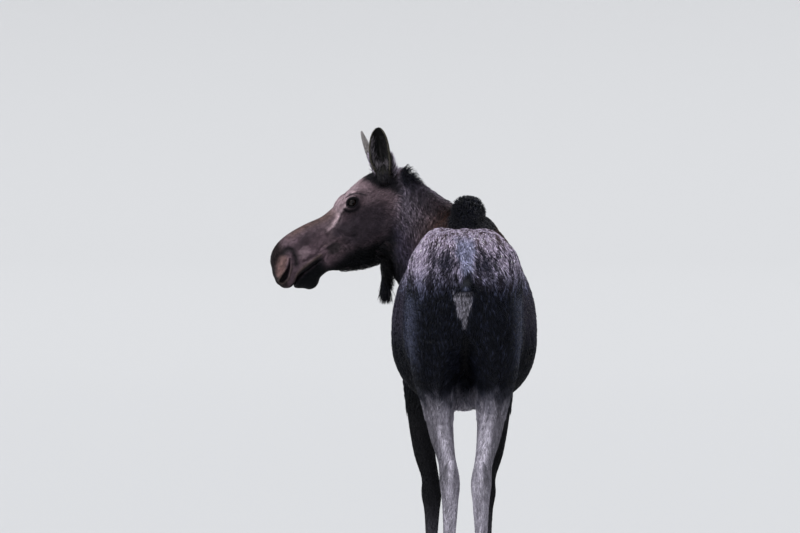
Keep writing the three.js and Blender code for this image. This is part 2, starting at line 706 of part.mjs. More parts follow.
// Locks that hang round a small limb, in rows from its top down.
function hangingLocks(field, top, bottom, rows, around, shape) {
  const locks = [];
  for (let row = 0; row < rows; row++)
    for (let i = 0; i < around; i++) {
      const angle = (2 * Math.PI * (i + (row % 2) / 2)) / around;
      const inward = vec(-Math.cos(angle), -Math.sin(angle), 0);
      const start = top.clone().lerp(bottom, row / rows).addScaledVector(inward, -90);
      const root = touch(field, start, inward);
      const length = shape.length * draw(0.85, 1.15);
      locks.push(lock(root, vec(draw(-0.1, 0.1), draw(-0.1, 0.1), -1), { ...shape, length }));
    }
  return locks;
}

// ---------- Ears ----------
// Where each ear stands on the head, the way it points and the way its cup faces.
const EARS = {
  [LEFT]: { root: fromHead(52, 34, -16), points: vec(-36, -88, 208), faces: vec(-0.25, -0.95, -0.2) },
  [RIGHT]: { root: fromHead(52, -34, -16), points: vec(-102, 62, 205), faces: vec(-1, 0.2, -0.25) },
};

// A cupped leaf: each ring goes round the back of the ear and returns inside the cup.
function ear(side) {
  const { root, points, faces } = EARS[side];
  const up = points.clone().normalize();
  const front = faces.clone().addScaledVector(up, -faces.dot(up)).normalize();
  const across = up.clone().cross(front);
  const arc = 6;
  const rings = [];
  for (const s of [0, 0.17, 0.27, 0.4, 0.55, 0.7, 0.83, 0.94, 1]) {
    const half = (EAR.width / 2) * (0.56 + 0.44 * THREE.MathUtils.smoothstep(s, 0, 0.5));
    const taper = s > 0.6 ? Math.sqrt(Math.max(1 - ((s - 0.6) / 0.42) ** 2, 0.004)) : 1;
    const wide = Math.max(half * taper, 3);
    const deep = lerp(34, 9, s) * taper;
    const wall = lerp(EAR.wall, 3, s);
    const cup = THREE.MathUtils.smoothstep(s, 0.16, 0.32);
    const ring = [];
    const place = (angle, inset) => {
      const back = Math.cos(angle) * (deep - inset);
      const sideways = Math.sin(angle) * (wide - inset * 0.6);
      const curl = 14 * s * s; // the tip leans a little back
      return root
        .clone()
        .addScaledVector(up, s * EAR.length)
        .addScaledVector(across, sideways)
        .addScaledVector(front, deep * 0.4 - back - curl);
    };
    for (let i = 0; i <= arc; i++) ring.push(place(lerp(-1.75, 1.75, i / arc), 0));
    for (let i = arc; i >= 0; i--) {
      const angle = lerp(-1.62, 1.62, i / arc);
      const solidFront = place(Math.PI - angle * 0.8, 0);
      ring.push(solidFront.lerp(place(angle, Math.min(wall, deep * 0.6)), cup));
    }
    rings.push(ring);
  }
  return loft(rings);
}

// ---------- Feet ----------
// A flat ring of a claw: long, round outside and flatter towards its twin.
function clawRing(x, y, z, halfWidth, ahead, behind, lean) {
  const around = 10;
  return Array.from({ length: around }, (_, i) => {
    const angle = (2 * Math.PI * i) / around;
    const run = Math.cos(angle) > 0 ? ahead : behind;
    const dx = halfWidth * Math.sin(angle);
    const dy = run * Math.sign(Math.cos(angle)) * Math.abs(Math.cos(angle)) ** 0.9;
    return vec(dx, dy, 0).applyAxisAngle(DOWN, lean).add(vec(x, y, z));
  });
}

// One of a foot's two claws; inner or outer is the side of the foot it stands on, as -1 or 1.
function claw(foot, half) {
  const lean = half * radians(CLAW.splay);
  const x = foot.x + half * (CLAW.width / 2 + 1.5);
  const w = CLAW.width / 2;
  const top = CORONET_HEIGHT - JOINT_GAP / 2;
  return loft([
    clawRing(x, foot.y, top, w * 0.96, 47, 45, 0),
    clawRing(x + half, foot.y + 12, top * 0.45, w * 1.06, 58, 47, lean * 0.6),
    clawRing(x + half * 3, foot.y + 18, 8, w * 1.08, 70, 46, lean),
    clawRing(x + half * 3, foot.y + 18, 0, w * 1.02, 66, 43, lean),
  ]);
}

function dewclaw(foot, half, shank) {
  const { length, width, height } = DEWCLAW;
  const along = vec(half * 0.12, -0.42, -0.9).normalize();
  const start = vec(foot.x + half * 21, foot.y - 34, height);
  const sides = 6;
  const swell = [1, 0.9, 0.25];
  const rings = swell.map((share, row) => {
    const r = (width / 2) * share;
    const centre = start.clone().addScaledVector(along, (row / (swell.length - 1)) * length);
    return Array.from({ length: sides }, (_, i) => {
      const angle = (2 * Math.PI * i) / sides;
      return centre.clone().add(vec(Math.cos(angle) * r, Math.sin(angle) * r * 0.8, 0));
    });
  });
  return seated(loft(rings), shank, vec(0, -1, 0));
}

// ---------- Tail and bell ----------
// The Y at which the rump's surface lies on the midline at a height.
function rumpAt(z) {
  let y = -950;
  while (bodyField(0, y, z) > 0.5) y += Math.max(bodyField(0, y, z) * 0.5, 0.5);
  return y;
}
const TAIL_TOP = 1468;
const tailSection = (share, sunk, wide, thick) => {
  const z = TAIL_TOP - TAIL_LENGTH * share;
  return section(0, rumpAt(z) + sunk, z, wide, thick, thick);
};
const tailLimb = limb([
  tailSection(0, 22, 36, 26),
  tailSection(0.2, 4, 37, 24),
  tailSection(0.5, -2, 33, 19),
  tailSection(0.8, -7, 22, 13),
  tailSection(1, -9, 9, 7),
]);
// The bell's flap of skin, from the throat to about half way down its hair.
const bellTop = vec(-310, 905, 1484);
const bellLimb = limb([
  section(bellTop.x, bellTop.y, bellTop.z, 24, 38, 34),
  section(bellTop.x, bellTop.y - 4, bellTop.z - BELL_LENGTH * 0.28, 21, 28, 26),
  section(bellTop.x + 1, bellTop.y - 6, bellTop.z - BELL_LENGTH * 0.52, 15, 19, 18),
]);
const bellHair = hangingLocks(
  bellLimb,
  bellTop.clone().add(vec(0, -4, -BELL_LENGTH * 0.22)),
  bellTop.clone().add(vec(1, -6, -BELL_LENGTH * 0.66)),
  2,
  3,
  { length: 98, width: 46, thick: 11, lift: 8, sink: 7, rings: 4 },
);
const tailHair = hangingLocks(
  tailLimb,
  vec(0, rumpAt(TAIL_TOP) - 2, TAIL_TOP - TAIL_LENGTH * 0.4),
  vec(0, rumpAt(TAIL_TOP - TAIL_LENGTH) - 8, TAIL_TOP - TAIL_LENGTH * 0.9),
  2,
  4,
  { length: 44, width: 24, thick: 7, lift: 2, sink: 7, rings: 4 },
);

// A small piece meshed from its own field, in a box round the given point.
function morsel(field, centre, reach, cell) {
  const grid = ["x", "y", "z"].map((axis) => marks(centre[axis] - reach, centre[axis] + reach, cell));
  return solidOf(surface(field, ...grid));
}

// ---------- Assembly ----------
const finish = (colour, roughness) =>
  new THREE.MeshStandardMaterial({ color: colour, roughness, metalness: 0 });
const hide = finish(0x2b2422, 0.75);
const horn = finish(0x2a2623, 0.45);
const cornea = finish(0x0b0806, 0.08);

const solids = [];
const place = (name, solid, material) => solids.push({ name, solid: largest(solid), material });

const head = headWithFeatures();
const bareNeck = trim(trunkAndLimbs, [NECK_CUT], JOINT_GAP / 2);
const mane = maneLocks();
const overNeck = ({ x, y, z }) => ahead(NECK_CUT, x, y, z) > 0;
const locksWhere = (test) => mane.filter(({ root }) => test(root.at)).map(({ solid }) => solid);
const torso = trim(joined(bareTorso, locksWhere((at) => !overNeck(at))), [flip(NECK_CUT)], JOINT_GAP / 2);
const neckEnds = [NECK_CUT, flip(HEAD_CUT)];
const neck = trim(joined(bareNeck, locksWhere(overNeck)), neckEnds, JOINT_GAP / 2);
place("torso", torso, hide);
place("neck", neck, hide);
place("head", head, hide);
const tailMiddle = vec(0, rumpAt(TAIL_TOP), TAIL_TOP - TAIL_LENGTH / 2);
const tail = joined(morsel(tailLimb, tailMiddle, 100, 18), tailHair);
const bellMiddle = bellTop.clone().setZ(bellTop.z - BELL_LENGTH / 4);
const bell = joined(morsel(bellLimb, bellMiddle, 110, 22), bellHair);
place("tail", seated(tail, torso, vec(0, -1, 0.3)), hide);
place("bell", seated(bell, head.add(neck), vec(0, 0, -1)), hide);

for (const side of SIDES) {
  const name = SIDE_NAME[side];
  place(`ear_${name}`, seated(ear(side), head, vec(0, 0, 1)), hide);
  place(`eye_${name}`, eyeball(side, EYE_RADIUS), cornea);

  const midCuts = { hind: STIFLE_CUT, fore: ELBOW_CUT };
  const ownHalf = { hind: BEHIND, fore: flip(BEHIND) };
  for (const end of ["hind", "fore"]) {
    const upperCuts = [...upperLegCuts[end](side), flip(midCuts[end])];
    place(`${end}_upper_leg_${name}`, trim(withoutNeck, upperCuts, JOINT_GAP / 2), hide);
    const lowerCuts = [sideCut(side), ownHalf[end], midCuts[end], FOOT_CUT];
    const shank = flesh(lowerCuts, [24, 28, 58]);
    place(`${end}_lower_leg_${name}`, shank, hide);
    const foot = FOOT[end](side);
    for (const half of SIDES) {
      const which = half === side ? "outer" : "inner";
      place(`hoof_${end}_${name}_${which}`, claw(foot, half), horn);
      place(`dewclaw_${end}_${name}_${which}`, dewclaw(foot, half, shank), horn);
    }
  }
}

// The origin is on the floor, under the middle of the whole animal's box.
const whole = new THREE.Box3();
for (const { solid } of solids) {
  const { min, max } = solid.boundingBox();
  whole.union(new THREE.Box3(vec(...min), vec(...max)));
}
const middle = whole.getCenter(vec(0, 0, 0));
const toOrigin = [-middle.x, -middle.y, -whole.min.z];

const moose = new THREE.Group();
for (const { name, solid, material } of solids) {
  const mesh = new THREE.Mesh(geometryOf(solid.translate(toOrigin)), material);
  mesh.name = name;
  moose.add(mesh);
}

export default moose;
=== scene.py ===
"""A life-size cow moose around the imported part: one skin, mesh coat, eyes, ears and hooves.

Shapes are worked out in millimetres in the animal's own frame: she faces +Y, her right side is
+X, the floor is Z = 0 and her spine is near X = 0. `to_frame` turns them into the frame's metres.
"""
import math
from concurrent.futures import ThreadPoolExecutor

import bmesh
import bpy
import numpy as np
import openvdb
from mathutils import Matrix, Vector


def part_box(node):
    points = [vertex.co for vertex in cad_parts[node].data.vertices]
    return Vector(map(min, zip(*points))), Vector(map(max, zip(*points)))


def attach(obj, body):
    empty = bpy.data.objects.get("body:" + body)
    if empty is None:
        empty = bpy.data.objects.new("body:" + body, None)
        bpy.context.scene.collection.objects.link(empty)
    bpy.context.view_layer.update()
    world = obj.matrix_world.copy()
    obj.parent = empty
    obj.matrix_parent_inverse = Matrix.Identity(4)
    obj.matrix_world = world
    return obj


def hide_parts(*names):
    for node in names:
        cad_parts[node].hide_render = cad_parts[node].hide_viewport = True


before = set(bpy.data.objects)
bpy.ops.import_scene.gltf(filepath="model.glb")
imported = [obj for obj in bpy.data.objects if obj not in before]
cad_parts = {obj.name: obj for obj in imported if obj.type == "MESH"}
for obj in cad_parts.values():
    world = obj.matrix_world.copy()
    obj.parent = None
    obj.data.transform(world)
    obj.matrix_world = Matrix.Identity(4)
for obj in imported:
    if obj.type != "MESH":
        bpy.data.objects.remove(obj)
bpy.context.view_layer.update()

# ---------- Driving dimensions, in millimetres ----------
LEFT, RIGHT = -1, 1
SIDES = (LEFT, RIGHT)
SIDE_NAME = {LEFT: "left", RIGHT: "right"}
POLL = np.array([-284.0, 950.0, 1872.0])  # top of the head between the ears
HEAD_PITCH = math.radians(38.6)  # how far the face slopes below level
HEAD_YAW = math.radians(12)  # how far the muzzle is turned back from straight left
EYE_RADIUS, LASHES = 20.0, 34
EYE_T, EYE_H = 227.0, 11.0  # along and above the line from the poll to the nose
EAR_LENGTH, EAR_WIDTH, EAR_WALL = 234.0, 82.0, 7.0
CORONET_HEIGHT = 80.0
CLAW_WIDTH, CLAW_SPLAY = 44.0, math.radians(5)
DEWCLAW_LENGTH, DEWCLAW_WIDTH, DEWCLAW_HEIGHT = 52.0, 26.0, 118.0
TAIL_LENGTH, TAIL_TOP = 90.0, 1468.0
BELL_LENGTH, BELL_HAIRS = 172.0, 1150
BELL_TOP = np.array([-310.0, 905.0, 1484.0])
DOWN = np.array([0.0, 0.0, -1.0])
rng = np.random.default_rng(11)


# ---------- Small helpers ----------
def unit(v):
    v = np.asarray(v, float)
    return v / np.linalg.norm(v, axis=-1, keepdims=True)


def dot(a, b):
    return (a * b).sum(-1)


def lerp(a, b, t):
    return a + (b - a) * t


def ramp(x, start, end):
    """0 before the start and 1 past the end, smooth between; it falls where start > end."""
    t = np.clip((x - start) / (end - start), 0, 1)
    return t * t * (3 - 2 * t)


def bump(x, middle, width):
    """1 at the middle, fading out on both sides."""
    return np.exp(-(((x - middle) / width) ** 2))


def vectors(x, y, z):
    """Vectors from their three parts, of which one is an array at least."""
    return np.stack(np.broadcast_arrays(x, y, z), -1)


def flattened(v, normal):
    """The part of each vector that runs along the surface, at unit length."""
    return unit(v - normal * dot(v, normal)[:, None])


def catmull_rom(points, steps):
    """Points along a smooth curve through the given ones, `steps` to each stretch."""
    p = np.asarray(points, float)
    p = np.vstack([2 * p[0] - p[1], p, 2 * p[-1] - p[-2]])
    t = (np.arange(steps) / steps)[:, None]
    out = []
    for before, a, b, after in zip(p, p[1:], p[2:], p[3:]):
        slope_a, slope_b = (b - before) / 2, (after - a) / 2
        square = -3 * a + 3 * b - 2 * slope_a - slope_b
        out.append(a + slope_a * t + square * t**2 + (2 * a - 2 * b + slope_a + slope_b) * t**3)
    return np.vstack(out + [p[-2:-1]])


# ---------- Fields: signed distances, negative inside ----------
FAR = 120.0  # past this, a limb's distance isn't worked out


def smooth_union(a, b, blend):
    overlap = np.maximum(blend - np.abs(a - b), 0) / blend
    return np.minimum(a, b) - overlap * overlap * (blend / 4)


def smooth_cut(a, b, blend):
    return -smooth_union(-a, b, blend)


def box_distance(p, low, high):
    return np.linalg.norm(np.maximum(np.maximum(low - p, p - high), 0), axis=-1)


def limb(rows, across=(1, 0, 0), square=2.0, steps=4):
    """A trunk or limb that runs smoothly through its cross-sections, whose width runs `across`.
    A row is a centre's x, y and z, the half width, and how far it reaches above and below."""
    path = catmull_rom(rows, steps)
    centres, reaches = path[:, :3], path[:, 3:]
    pieces = []
    for start, end, first, last in zip(centres, centres[1:], reaches, reaches[1:]):
        length = np.linalg.norm(end - start)
        along = (end - start) / length
        side = unit(np.asarray(across) - along * np.dot(across, along))
        over = np.cross(side, along)
        widest = max(first.max(), last.max())
        low, high = np.minimum(start, end) - widest, np.maximum(start, end) + widest
        pieces.append((start, np.stack([along, side, over], 1), length, first, last, low, high))

    def field(p):
        nearest = np.full(len(p), FAR)
        low_p, high_p = p.min(0), p.max(0)
        for start, axes, length, first, last, low, high in pieces:
            if np.linalg.norm(np.maximum(np.maximum(low - high_p, low_p - high), 0)) > FAR:
                continue
            near = np.flatnonzero(box_distance(p, low, high) < np.maximum(nearest, 0.01))
            if len(near) == 0:
                continue
            run, sideways, upward = ((p[near] - start) @ axes).T
            t = np.clip(run / length, 0, 1)
            past = run - t * length
            wide = lerp(first[0], last[0], t)
            above, below = lerp(first[1], last[1], t), lerp(first[2], last[2], t)
            tall = np.where(upward > 0, above, below)
            end = np.minimum(wide, tall)
            parts = [sideways / wide, upward / tall, past / end]
            if square == 2:
                ratio = np.sqrt(sum(x * x for x in parts))
            else:
                ratio = sum(np.abs(x) ** square for x in parts) ** (1 / square)
            away = np.sqrt(sideways**2 + upward**2 + past**2)
            value = np.where(ratio < 1e-6, -end, away * (1 - 1 / np.maximum(ratio, 1e-6)))
            nearest[near] = np.minimum(nearest[near], value)
        return nearest

    return field


def mass(centre, reach):
    """An egg-shaped mass about a centre."""
    centre, reach = np.asarray(centre, float), np.asarray(reach, float)

    def field(p):
        away = p - centre
        ratio = np.maximum(np.linalg.norm(away / reach, axis=-1), 1e-6)
        return np.linalg.norm(away, axis=-1) * (1 - 1 / ratio)

    return field


# ---------- Trunk, neck and legs: the same masses as the solids' ----------
trunk = limb(
    [
        (0, -700, 1372, 94, 84, 122),
        (-2, -610, 1345, 158, 215, 205),
        (-2, -470, 1315, 198, 308, 255),
        (-4, -260, 1262, 236, 340, 272),
        (2, -10, 1205, 287, 380, 280),
        (6, 190, 1205, 284, 402, 285),
        (10, 360, 1225, 246, 446, 285),
        (6, 500, 1245, 206, 420, 286),
        (0, 640, 1240, 165, 330, 235),
        (-6, 740, 1215, 110, 190, 165),
    ],
    square=2.3,
)
withers = limb(
    [
        (6, 180, 1500, 60, 92, 100),
        (14, 330, 1560, 66, 142, 120),
        (14, 450, 1570, 64, 146, 120),
        (0, 580, 1560, 62, 126, 120),
    ]
)
# The upright hair's outline over the hump and along the neck's crest.
MANE = [
    (12, 150, 1602, 36, 26, 40),
    (22, 300, 1680, 60, 60, 60),
    (23, 420, 1694, 64, 64, 60),
    (10, 530, 1690, 52, 52, 60),
    (-60, 650, 1700, 36, 42, 60),
    (-130, 745, 1762, 30, 38, 60),
    (-196, 832, 1810, 28, 46, 60),
    (-228, 870, 1842, 28, 54, 60),
    (-262, 905, 1852, 26, 40, 60),
]
ACROSS_MANE = (0.9, 0.43, 0)
MANE_CORE = [1, 1, 1, 0.8, 0.45, 1]  # the flesh's share of the mane's width and height
MANE_FOOT = [1, 1, 1, 1, 1, 1.8]  # the hair's outline reaches down round the neck
crest = limb(np.multiply(MANE, MANE_CORE), across=ACROSS_MANE)
mane_outline = limb(np.multiply(MANE, MANE_FOOT), across=ACROSS_MANE)
udder = mass((0, -400, 975), (66, 105, 62))
hips = [mass((side * 108 - 2, -455, 1452), (106, 180, 174)) for side in SIDES]
neck_line = limb(
    [
        (0, 430, 1330, 170, 320, 300),
        (-22, 600, 1410, 140, 268, 290),
        (-80, 745, 1498, 118, 246, 268),
        (-160, 855, 1584, 104, 222, 235),
        (-240, 925, 1655, 94, 200, 200),
        (-300, 950, 1690, 80, 150, 165),
    ],
    across=(0.84, 0.54, 0),
)
# Where each foot stands across the body, and how far its leg is moved forward.
STANCE = {
    ("hind", LEFT): (-66, 80),
    ("hind", RIGHT): (62, -10),
    ("fore", LEFT): (-124, -10),
    ("fore", RIGHT): (96, 45),
}
HOCK_X = 57
FORE_SHIFT = -14


def hind_leg(side):
    foot_x, y = STANCE["hind", side]
    x = side * HOCK_X
    return limb(
        [
            (side * 92, -500, 1370, 116, 170, 275),
            (side * 112, -510, 1230, 108, 190, 268),
            (side * 116, -490 + y * 0.2, 1080, 94, 195, 228),
            (side * 104, -520 + y * 0.5, 950, 68, 150, 162),
            (side * 90, -590 + y * 0.8, 830, 49, 86, 92),
            (side * 70, -660 + y, 730, 37, 54, 58),
            (x, -708 + y, 648, 44, 54, 58),
            (x, -712 + y, 575, 36, 46, 44),
            (lerp(x, foot_x, 0.4), -706 + y, 450, 27, 31, 33),
            (lerp(x, foot_x, 0.7), -698 + y, 320, 26, 30, 31),
            (foot_x, -686 + y, 205, 36, 39, 44),
            (foot_x, -662 + y, 140, 32, 34, 36),
            (foot_x, -634 + y, 84, 44, 48, 46),
            (foot_x, -616 + y, 50, 44, 48, 46),
        ]
    )


def fore_leg(side):
    foot_x, y = STANCE["fore", side]
    return limb(
        [
            (side * 78, 400, 1540, 62, 95, 95),
            (side * 122, 500, 1380, 82, 130, 140),
            (side * 144 + FORE_SHIFT / 2, 560, 1220, 88, 130, 150),
            (side * 152 + FORE_SHIFT, 480, 1060, 80, 118, 126),
            (side * 156 + FORE_SHIFT, 440 + y / 3, 950, 66, 82, 88),
            (side * 149 + FORE_SHIFT, 435 + y / 2, 850, 57, 66, 66),
            (side * 138 + FORE_SHIFT, 435 + y * 0.7, 730, 46, 52, 50),
            (side * 116 + FORE_SHIFT, 435 + y * 0.9, 630, 38, 43, 43),
            (side * 110 + FORE_SHIFT, 440 + y, 560, 43, 48, 42),
            (side * 108 + FORE_SHIFT, 437 + y, 480, 33, 36, 36),
            (foot_x, 432 + y, 340, 26, 29, 29),
            (foot_x, 432 + y, 205, 36, 39, 44),
            (foot_x, 458 + y, 140, 32, 34, 36),
            (foot_x, 488 + y, 84, 44, 48, 46),
            (foot_x, 506 + y, 50, 44, 48, 46),
        ]
    )


FOOT_Y = {"hind": -626, "fore": 496}  # the middle of each foot at the coronet, before its stance
legs = [leg(side) for side in SIDES for leg in (hind_leg, fore_leg)]
hock_points = [
    mass((side * HOCK_X, -752 + STANCE["hind", side][1], 690), (21, 24, 52)) for side in SIDES
]

# ---------- Head, in its own frame: t to the nose, l to her left, h out of the brow ----------
flat = math.cos(HEAD_PITCH)
TO_NOSE = np.array(
    [-flat * math.cos(HEAD_YAW), -flat * math.sin(HEAD_YAW), -math.sin(HEAD_PITCH)]
)
TO_LEFT = unit(np.cross([0, 0, 1], TO_NOSE))
TO_BROW = np.cross(TO_NOSE, TO_LEFT)
HEAD_AXES = np.stack([TO_NOSE, TO_LEFT, TO_BROW], 1)


def from_head(p):
    return POLL + np.asarray(p, float) @ HEAD_AXES.T


def to_head(p):
    return (p - POLL) @ HEAD_AXES


def slice_of_head(t, top, bottom, wide):
    reach = (top - bottom) / 2
    return t, 0, (top + bottom) / 2, wide, reach, reach


skull = limb(
    [
        slice_of_head(36, 26, -150, 58),
        slice_of_head(95, 50, -180, 74),
        slice_of_head(150, 56, -195, 80),
        slice_of_head(205, 45, -205, 80),
        slice_of_head(260, 40, -205, 74),
        slice_of_head(320, 37, -195, 65),
        slice_of_head(380, 42, -168, 59),
        slice_of_head(440, 58, -138, 56),
        slice_of_head(500, 69, -118, 58),
        slice_of_head(543, 70, -106, 61),
        slice_of_head(571, 60, -102, 60),
        slice_of_head(585, 42, -100, 50),
    ],
    across=(0, -1, 0),
    square=2.3,
)
jaw = limb(
    [
        slice_of_head(150, -120, -258, 60),
        slice_of_head(230, -150, -268, 57),
        slice_of_head(310, -150, -250, 50),
        slice_of_head(390, -130, -206, 43),
        slice_of_head(460, -104, -160, 38),
        slice_of_head(530, -100, -158, 36),
    ],
    across=(0, -1, 0),
    square=2.3,
)
chin = mass((553, 0, -133), (43, 37, 43))
BULGES = [  # a mass on her left side, and how softly it blends
    (mass((226, 58, 14), (60, 32, 33)), 32),  # orbit
    (mass((190, 44, -165), (105, 38, 88)), 40),  # cheek
    (mass((611, 36, -42), (36, 26, 42)), 20),  # nostril wing
    (mass((520, 36, -62), (70, 26, 30)), 24),  # upper lip
    (mass((632, 20, -74), (32, 28, 36)), 26),  # the upper lip's front
    (mass((627, 12, -42), (30, 32, 34)), 24),  # the nose's front
    (mass((587, 14, -118), (31, 24, 22)), 22),  # lower lip
]
cheek_hollow = mass((318, 82, -34), (70, 22, 22))


def head_field(q):
    """The head's field, at points in the head's own frame."""
    d = smooth_union(skull(q), jaw(q), 30)
    d = smooth_union(d, chin(q), 12)
    mirrored = q * np.array([1, -1, 1])
    for bulge, blend in BULGES:
        d = smooth_union(d, bulge(q), blend)
        d = smooth_union(d, bulge(mirrored), blend)
    d = smooth_cut(d, cheek_hollow(q), 30)
    return smooth_cut(d, cheek_hollow(mirrored), 30)


def head_width(t, height):
    """How far to the side the head's surface lies at a place along and above its line."""
    inside, outside = 0.0, 160.0
    while outside - inside > 0.05:
        middle = (outside + inside) / 2
        if head_field(np.array([[t, middle, height]]))[0] > 0:
            outside = middle
        else:
            inside = middle
    return outside


EYE_LATERAL = head_width(EYE_T, EYE_H) - EYE_RADIUS * 0.95
NOSTRIL_T, NOSTRIL_H = 612.0, -34.0
NOSTRIL_LATERAL = head_width(NOSTRIL_T, NOSTRIL_H) - 2


def eye_centre(side):
    return from_head([EYE_T, -side * EYE_LATERAL, EYE_H])


eye_low, eye_high = (np.array(corner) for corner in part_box("eye_left"))
SHIFT = (eye_low + eye_high) / 2 - eye_centre(LEFT) / 1000


def to_frame(p):
    """From the animal's millimetres to the frame's metres."""
    return np.asarray(p) / 1000 + SHIFT


# ---------- Where the solids part the neck, as soft borders between kinds of coat ----------
def ahead_of(p, point, normal):
    return (p - np.array(point, float)) @ unit(normal)


# A point of each cut and the way it faces.
HEAD_CUT = (-262, 925, 1680), (-0.97, 0.15, 0.05)
NECK_CUT = (-15, 560, 1400), (-0.2, 0.9, 0.42)
SHOULDER_CUT, RUMP_CUT = 190, -260  # where the trunk's coat is parted along Y


def head_share(p):
    return ramp(ahead_of(p, *HEAD_CUT), -45, 35)


def neck_share(p):
    return ramp(ahead_of(p, *NECK_CUT), -70, 90)


def leg_share(p):
    """1 on the lower legs, 0 above the stifle and elbow."""
    return ramp(p[:, 2], 1010, 790)


# ---------- The fine forms of the face ----------
def curve_distance(t, h, points):
    """The distance to a smooth line in the head's side view, and the share along it."""
    line = catmull_rom(points, 3)
    best = np.full(len(t), 1e9)
    share = np.zeros(len(t))
    for i, (a, b) in enumerate(zip(line, line[1:])):
        run = b - a
        s = np.clip(((t - a[0]) * run[0] + (h - a[1]) * run[1]) / (run @ run), 0, 1)
        away = np.hypot(t - a[0] - s * run[0], h - a[1] - s * run[1])
        share = np.where(away < best, (i + s) / (len(line) - 1), share)
        best = np.minimum(best, away)
    return best, share


# Lines of the face in its side view: points (t, h), how far each stands out, and its half width.
RIDGE_LINE = [(252, 17), (276, 13), (300, -1), (318, -11), (345, -19), (374, -22), (392, -20)]
MOUTH = [(463, -96), (502, -94), (558, -92), (589, -96), (608, -104), (640, -124)]
NOSTRIL = [(572, -10), (585, -25), (604, -40), (629, -53), (650, -61)]
LIP_ROLL = [(463, -79), (516, -75), (553, -74), (581, -79), (601, -91), (616, -104)]
EYE_CREASE = [(214, 42), (200, 35), (181, 21), (162, -2)]
HOLLOW = [(580, 27), (558, 27), (541, 14), (548, -18), (565, -44)]
WING_EDGE = [(594, 4), (620, -12), (646, -34)]
EAR_BASE = [(88, 34), (62, -4), (36, -48)]
EAR_FOLD = [(40, -66), (52, -84), (84, -106)]
FACE_LINES = [
    (RIDGE_LINE, 6.5, 8),
    ([(262, 0), (285, -6), (308, -22), (336, -36)], -4, 7),  # trough under that ridge
    ([(366, -22), (344, -42), (334, -74), (316, -98), (292, -110)], -4.5, 7),  # cheek crease
    ([(352, -20), (330, -42), (318, -72), (300, -90)], 3, 9),  # the cheek's front edge
    ([(384, -76), (358, -108), (320, -116)], -3.5, 6),  # fold behind the lips
    ([(398, -94), (374, -122), (338, -138)], -2.5, 6),  # a second fold
    ([(352, -50), (392, -58), (430, -72)], 3.5, 12),  # facial crest
    ([(394, -80), (446, -71), (510, -62), (556, -50), (572, -40)], -4, 6),  # above the lip roll
    ([(430, -88), (452, -98), (466, -112)], -3, 6),  # fold at the mouth's corner
    ([(250, -240), (310, -214), (368, -180)], -4, 12),  # along the jaw bone
    (LIP_ROLL, 4, 7),  # upper lip roll
    ([(468, -109), (530, -105), (586, -109), (610, -120)], 3.5, 8),  # lower lip roll
    ([(520, -8), (508, -36), (482, -46)], 4.5, 15),  # pad behind the nostril
    (HOLLOW, -5, 8),  # hollow behind the nostril
    ([(598, 8), (622, -10), (642, -26)], 5, 13),  # wing of the nostril
    ([(572, 22), (602, 26), (632, 10)], -3, 8),  # hollow over that wing
    ([(169, 47), (153, 60), (133, 64)], -3, 6),  # brow crease
    (EYE_CREASE, -3.2, 4.5),
    ([(206, 50), (190, 42), (168, 26)], 2.2, 6),  # roll over that crease
    ([(476, -66), (430, -56), (388, -62)], -3, 5),  # wrinkle from the mouth corner
    ([(463, -79), (428, -68), (386, -74), (360, -68)], 3, 7),  # roll under that wrinkle
    ([(200, 62), (176, 52), (160, 36)], 3, 9),  # brow
    (EAR_FOLD, -5, 7),  # fold behind the ear's base
]
EYE_OPENING = {"length": 21.5, "height": 15.0, "tilt": math.radians(8), "ahead": 1.5}


def eye_opening(t, h):
    """The distance to the almond between the lids in the side view, and how far above its line."""
    ahead, up = t - EYE_T - EYE_OPENING["ahead"], h - EYE_H
    cos, sin = math.cos(EYE_OPENING["tilt"]), math.sin(EYE_OPENING["tilt"])
    along, over = ahead * cos + up * sin, up * cos - ahead * sin
    length, height = EYE_OPENING["length"], EYE_OPENING["height"]
    radius = (length**2 + height**2) / (2 * height)
    offset = radius - height
    upper = np.hypot(along, over + offset) - radius
    lower = np.hypot(along, over - offset) - radius
    return np.maximum(upper, lower), over


def with_eye(d, q):
    """Cuts the opening between the lids and raises the lids and their folds round it."""
    t, h = q[:, 0], q[:, 2]
    lateral = np.abs(q[:, 1])
    away = np.sqrt((t - EYE_T) ** 2 + (lateral - EYE_LATERAL) ** 2 + (h - EYE_H) ** 2)
    opening, above = eye_opening(t, h)
    upper = ramp(above, -4, 7)
    ahead = t - EYE_T
    to_back, to_front = ramp(ahead, 26, -2), ramp(ahead, -20, 8)
    d = smooth_union(d, away - EYE_RADIUS - 3.4, 12)
    folds = upper * (2.4 * bump(opening, 7.5, 2.8) - 3.2 * to_back * bump(opening, 13.5, 2.4))
    folds += upper * 2.2 * to_back * bump(opening, 19, 3.5)
    folds += (1 - upper) * (2.4 * bump(opening, 9, 3.6) - 3.0 * to_front * bump(opening, 17, 3.6))
    d = d - folds * ramp(away, 58, 36)
    rim = np.hypot(opening - 1.0, away - EYE_RADIUS - 2.0) - 2.2
    d = smooth_union(d, rim, 3)
    outward = EYE_LATERAL - 6 - lateral
    return smooth_cut(d, np.maximum(opening, outward), 1.2)


def near_line(t, h, points, width):
    """1 on a line of the face, fading out over its width."""
    return bump(curve_distance(t, h, points)[0], 0, width)


def nostril_gap(t, h):
    """How far a place lies outside the nostril's comma in the side view."""
    away, share = curve_distance(t, h, NOSTRIL)
    half = np.interp(share, [0, 0.25, 0.5, 0.8, 1], [1.6, 2.4, 6.0, 12.5, 8.5])
    return away - half


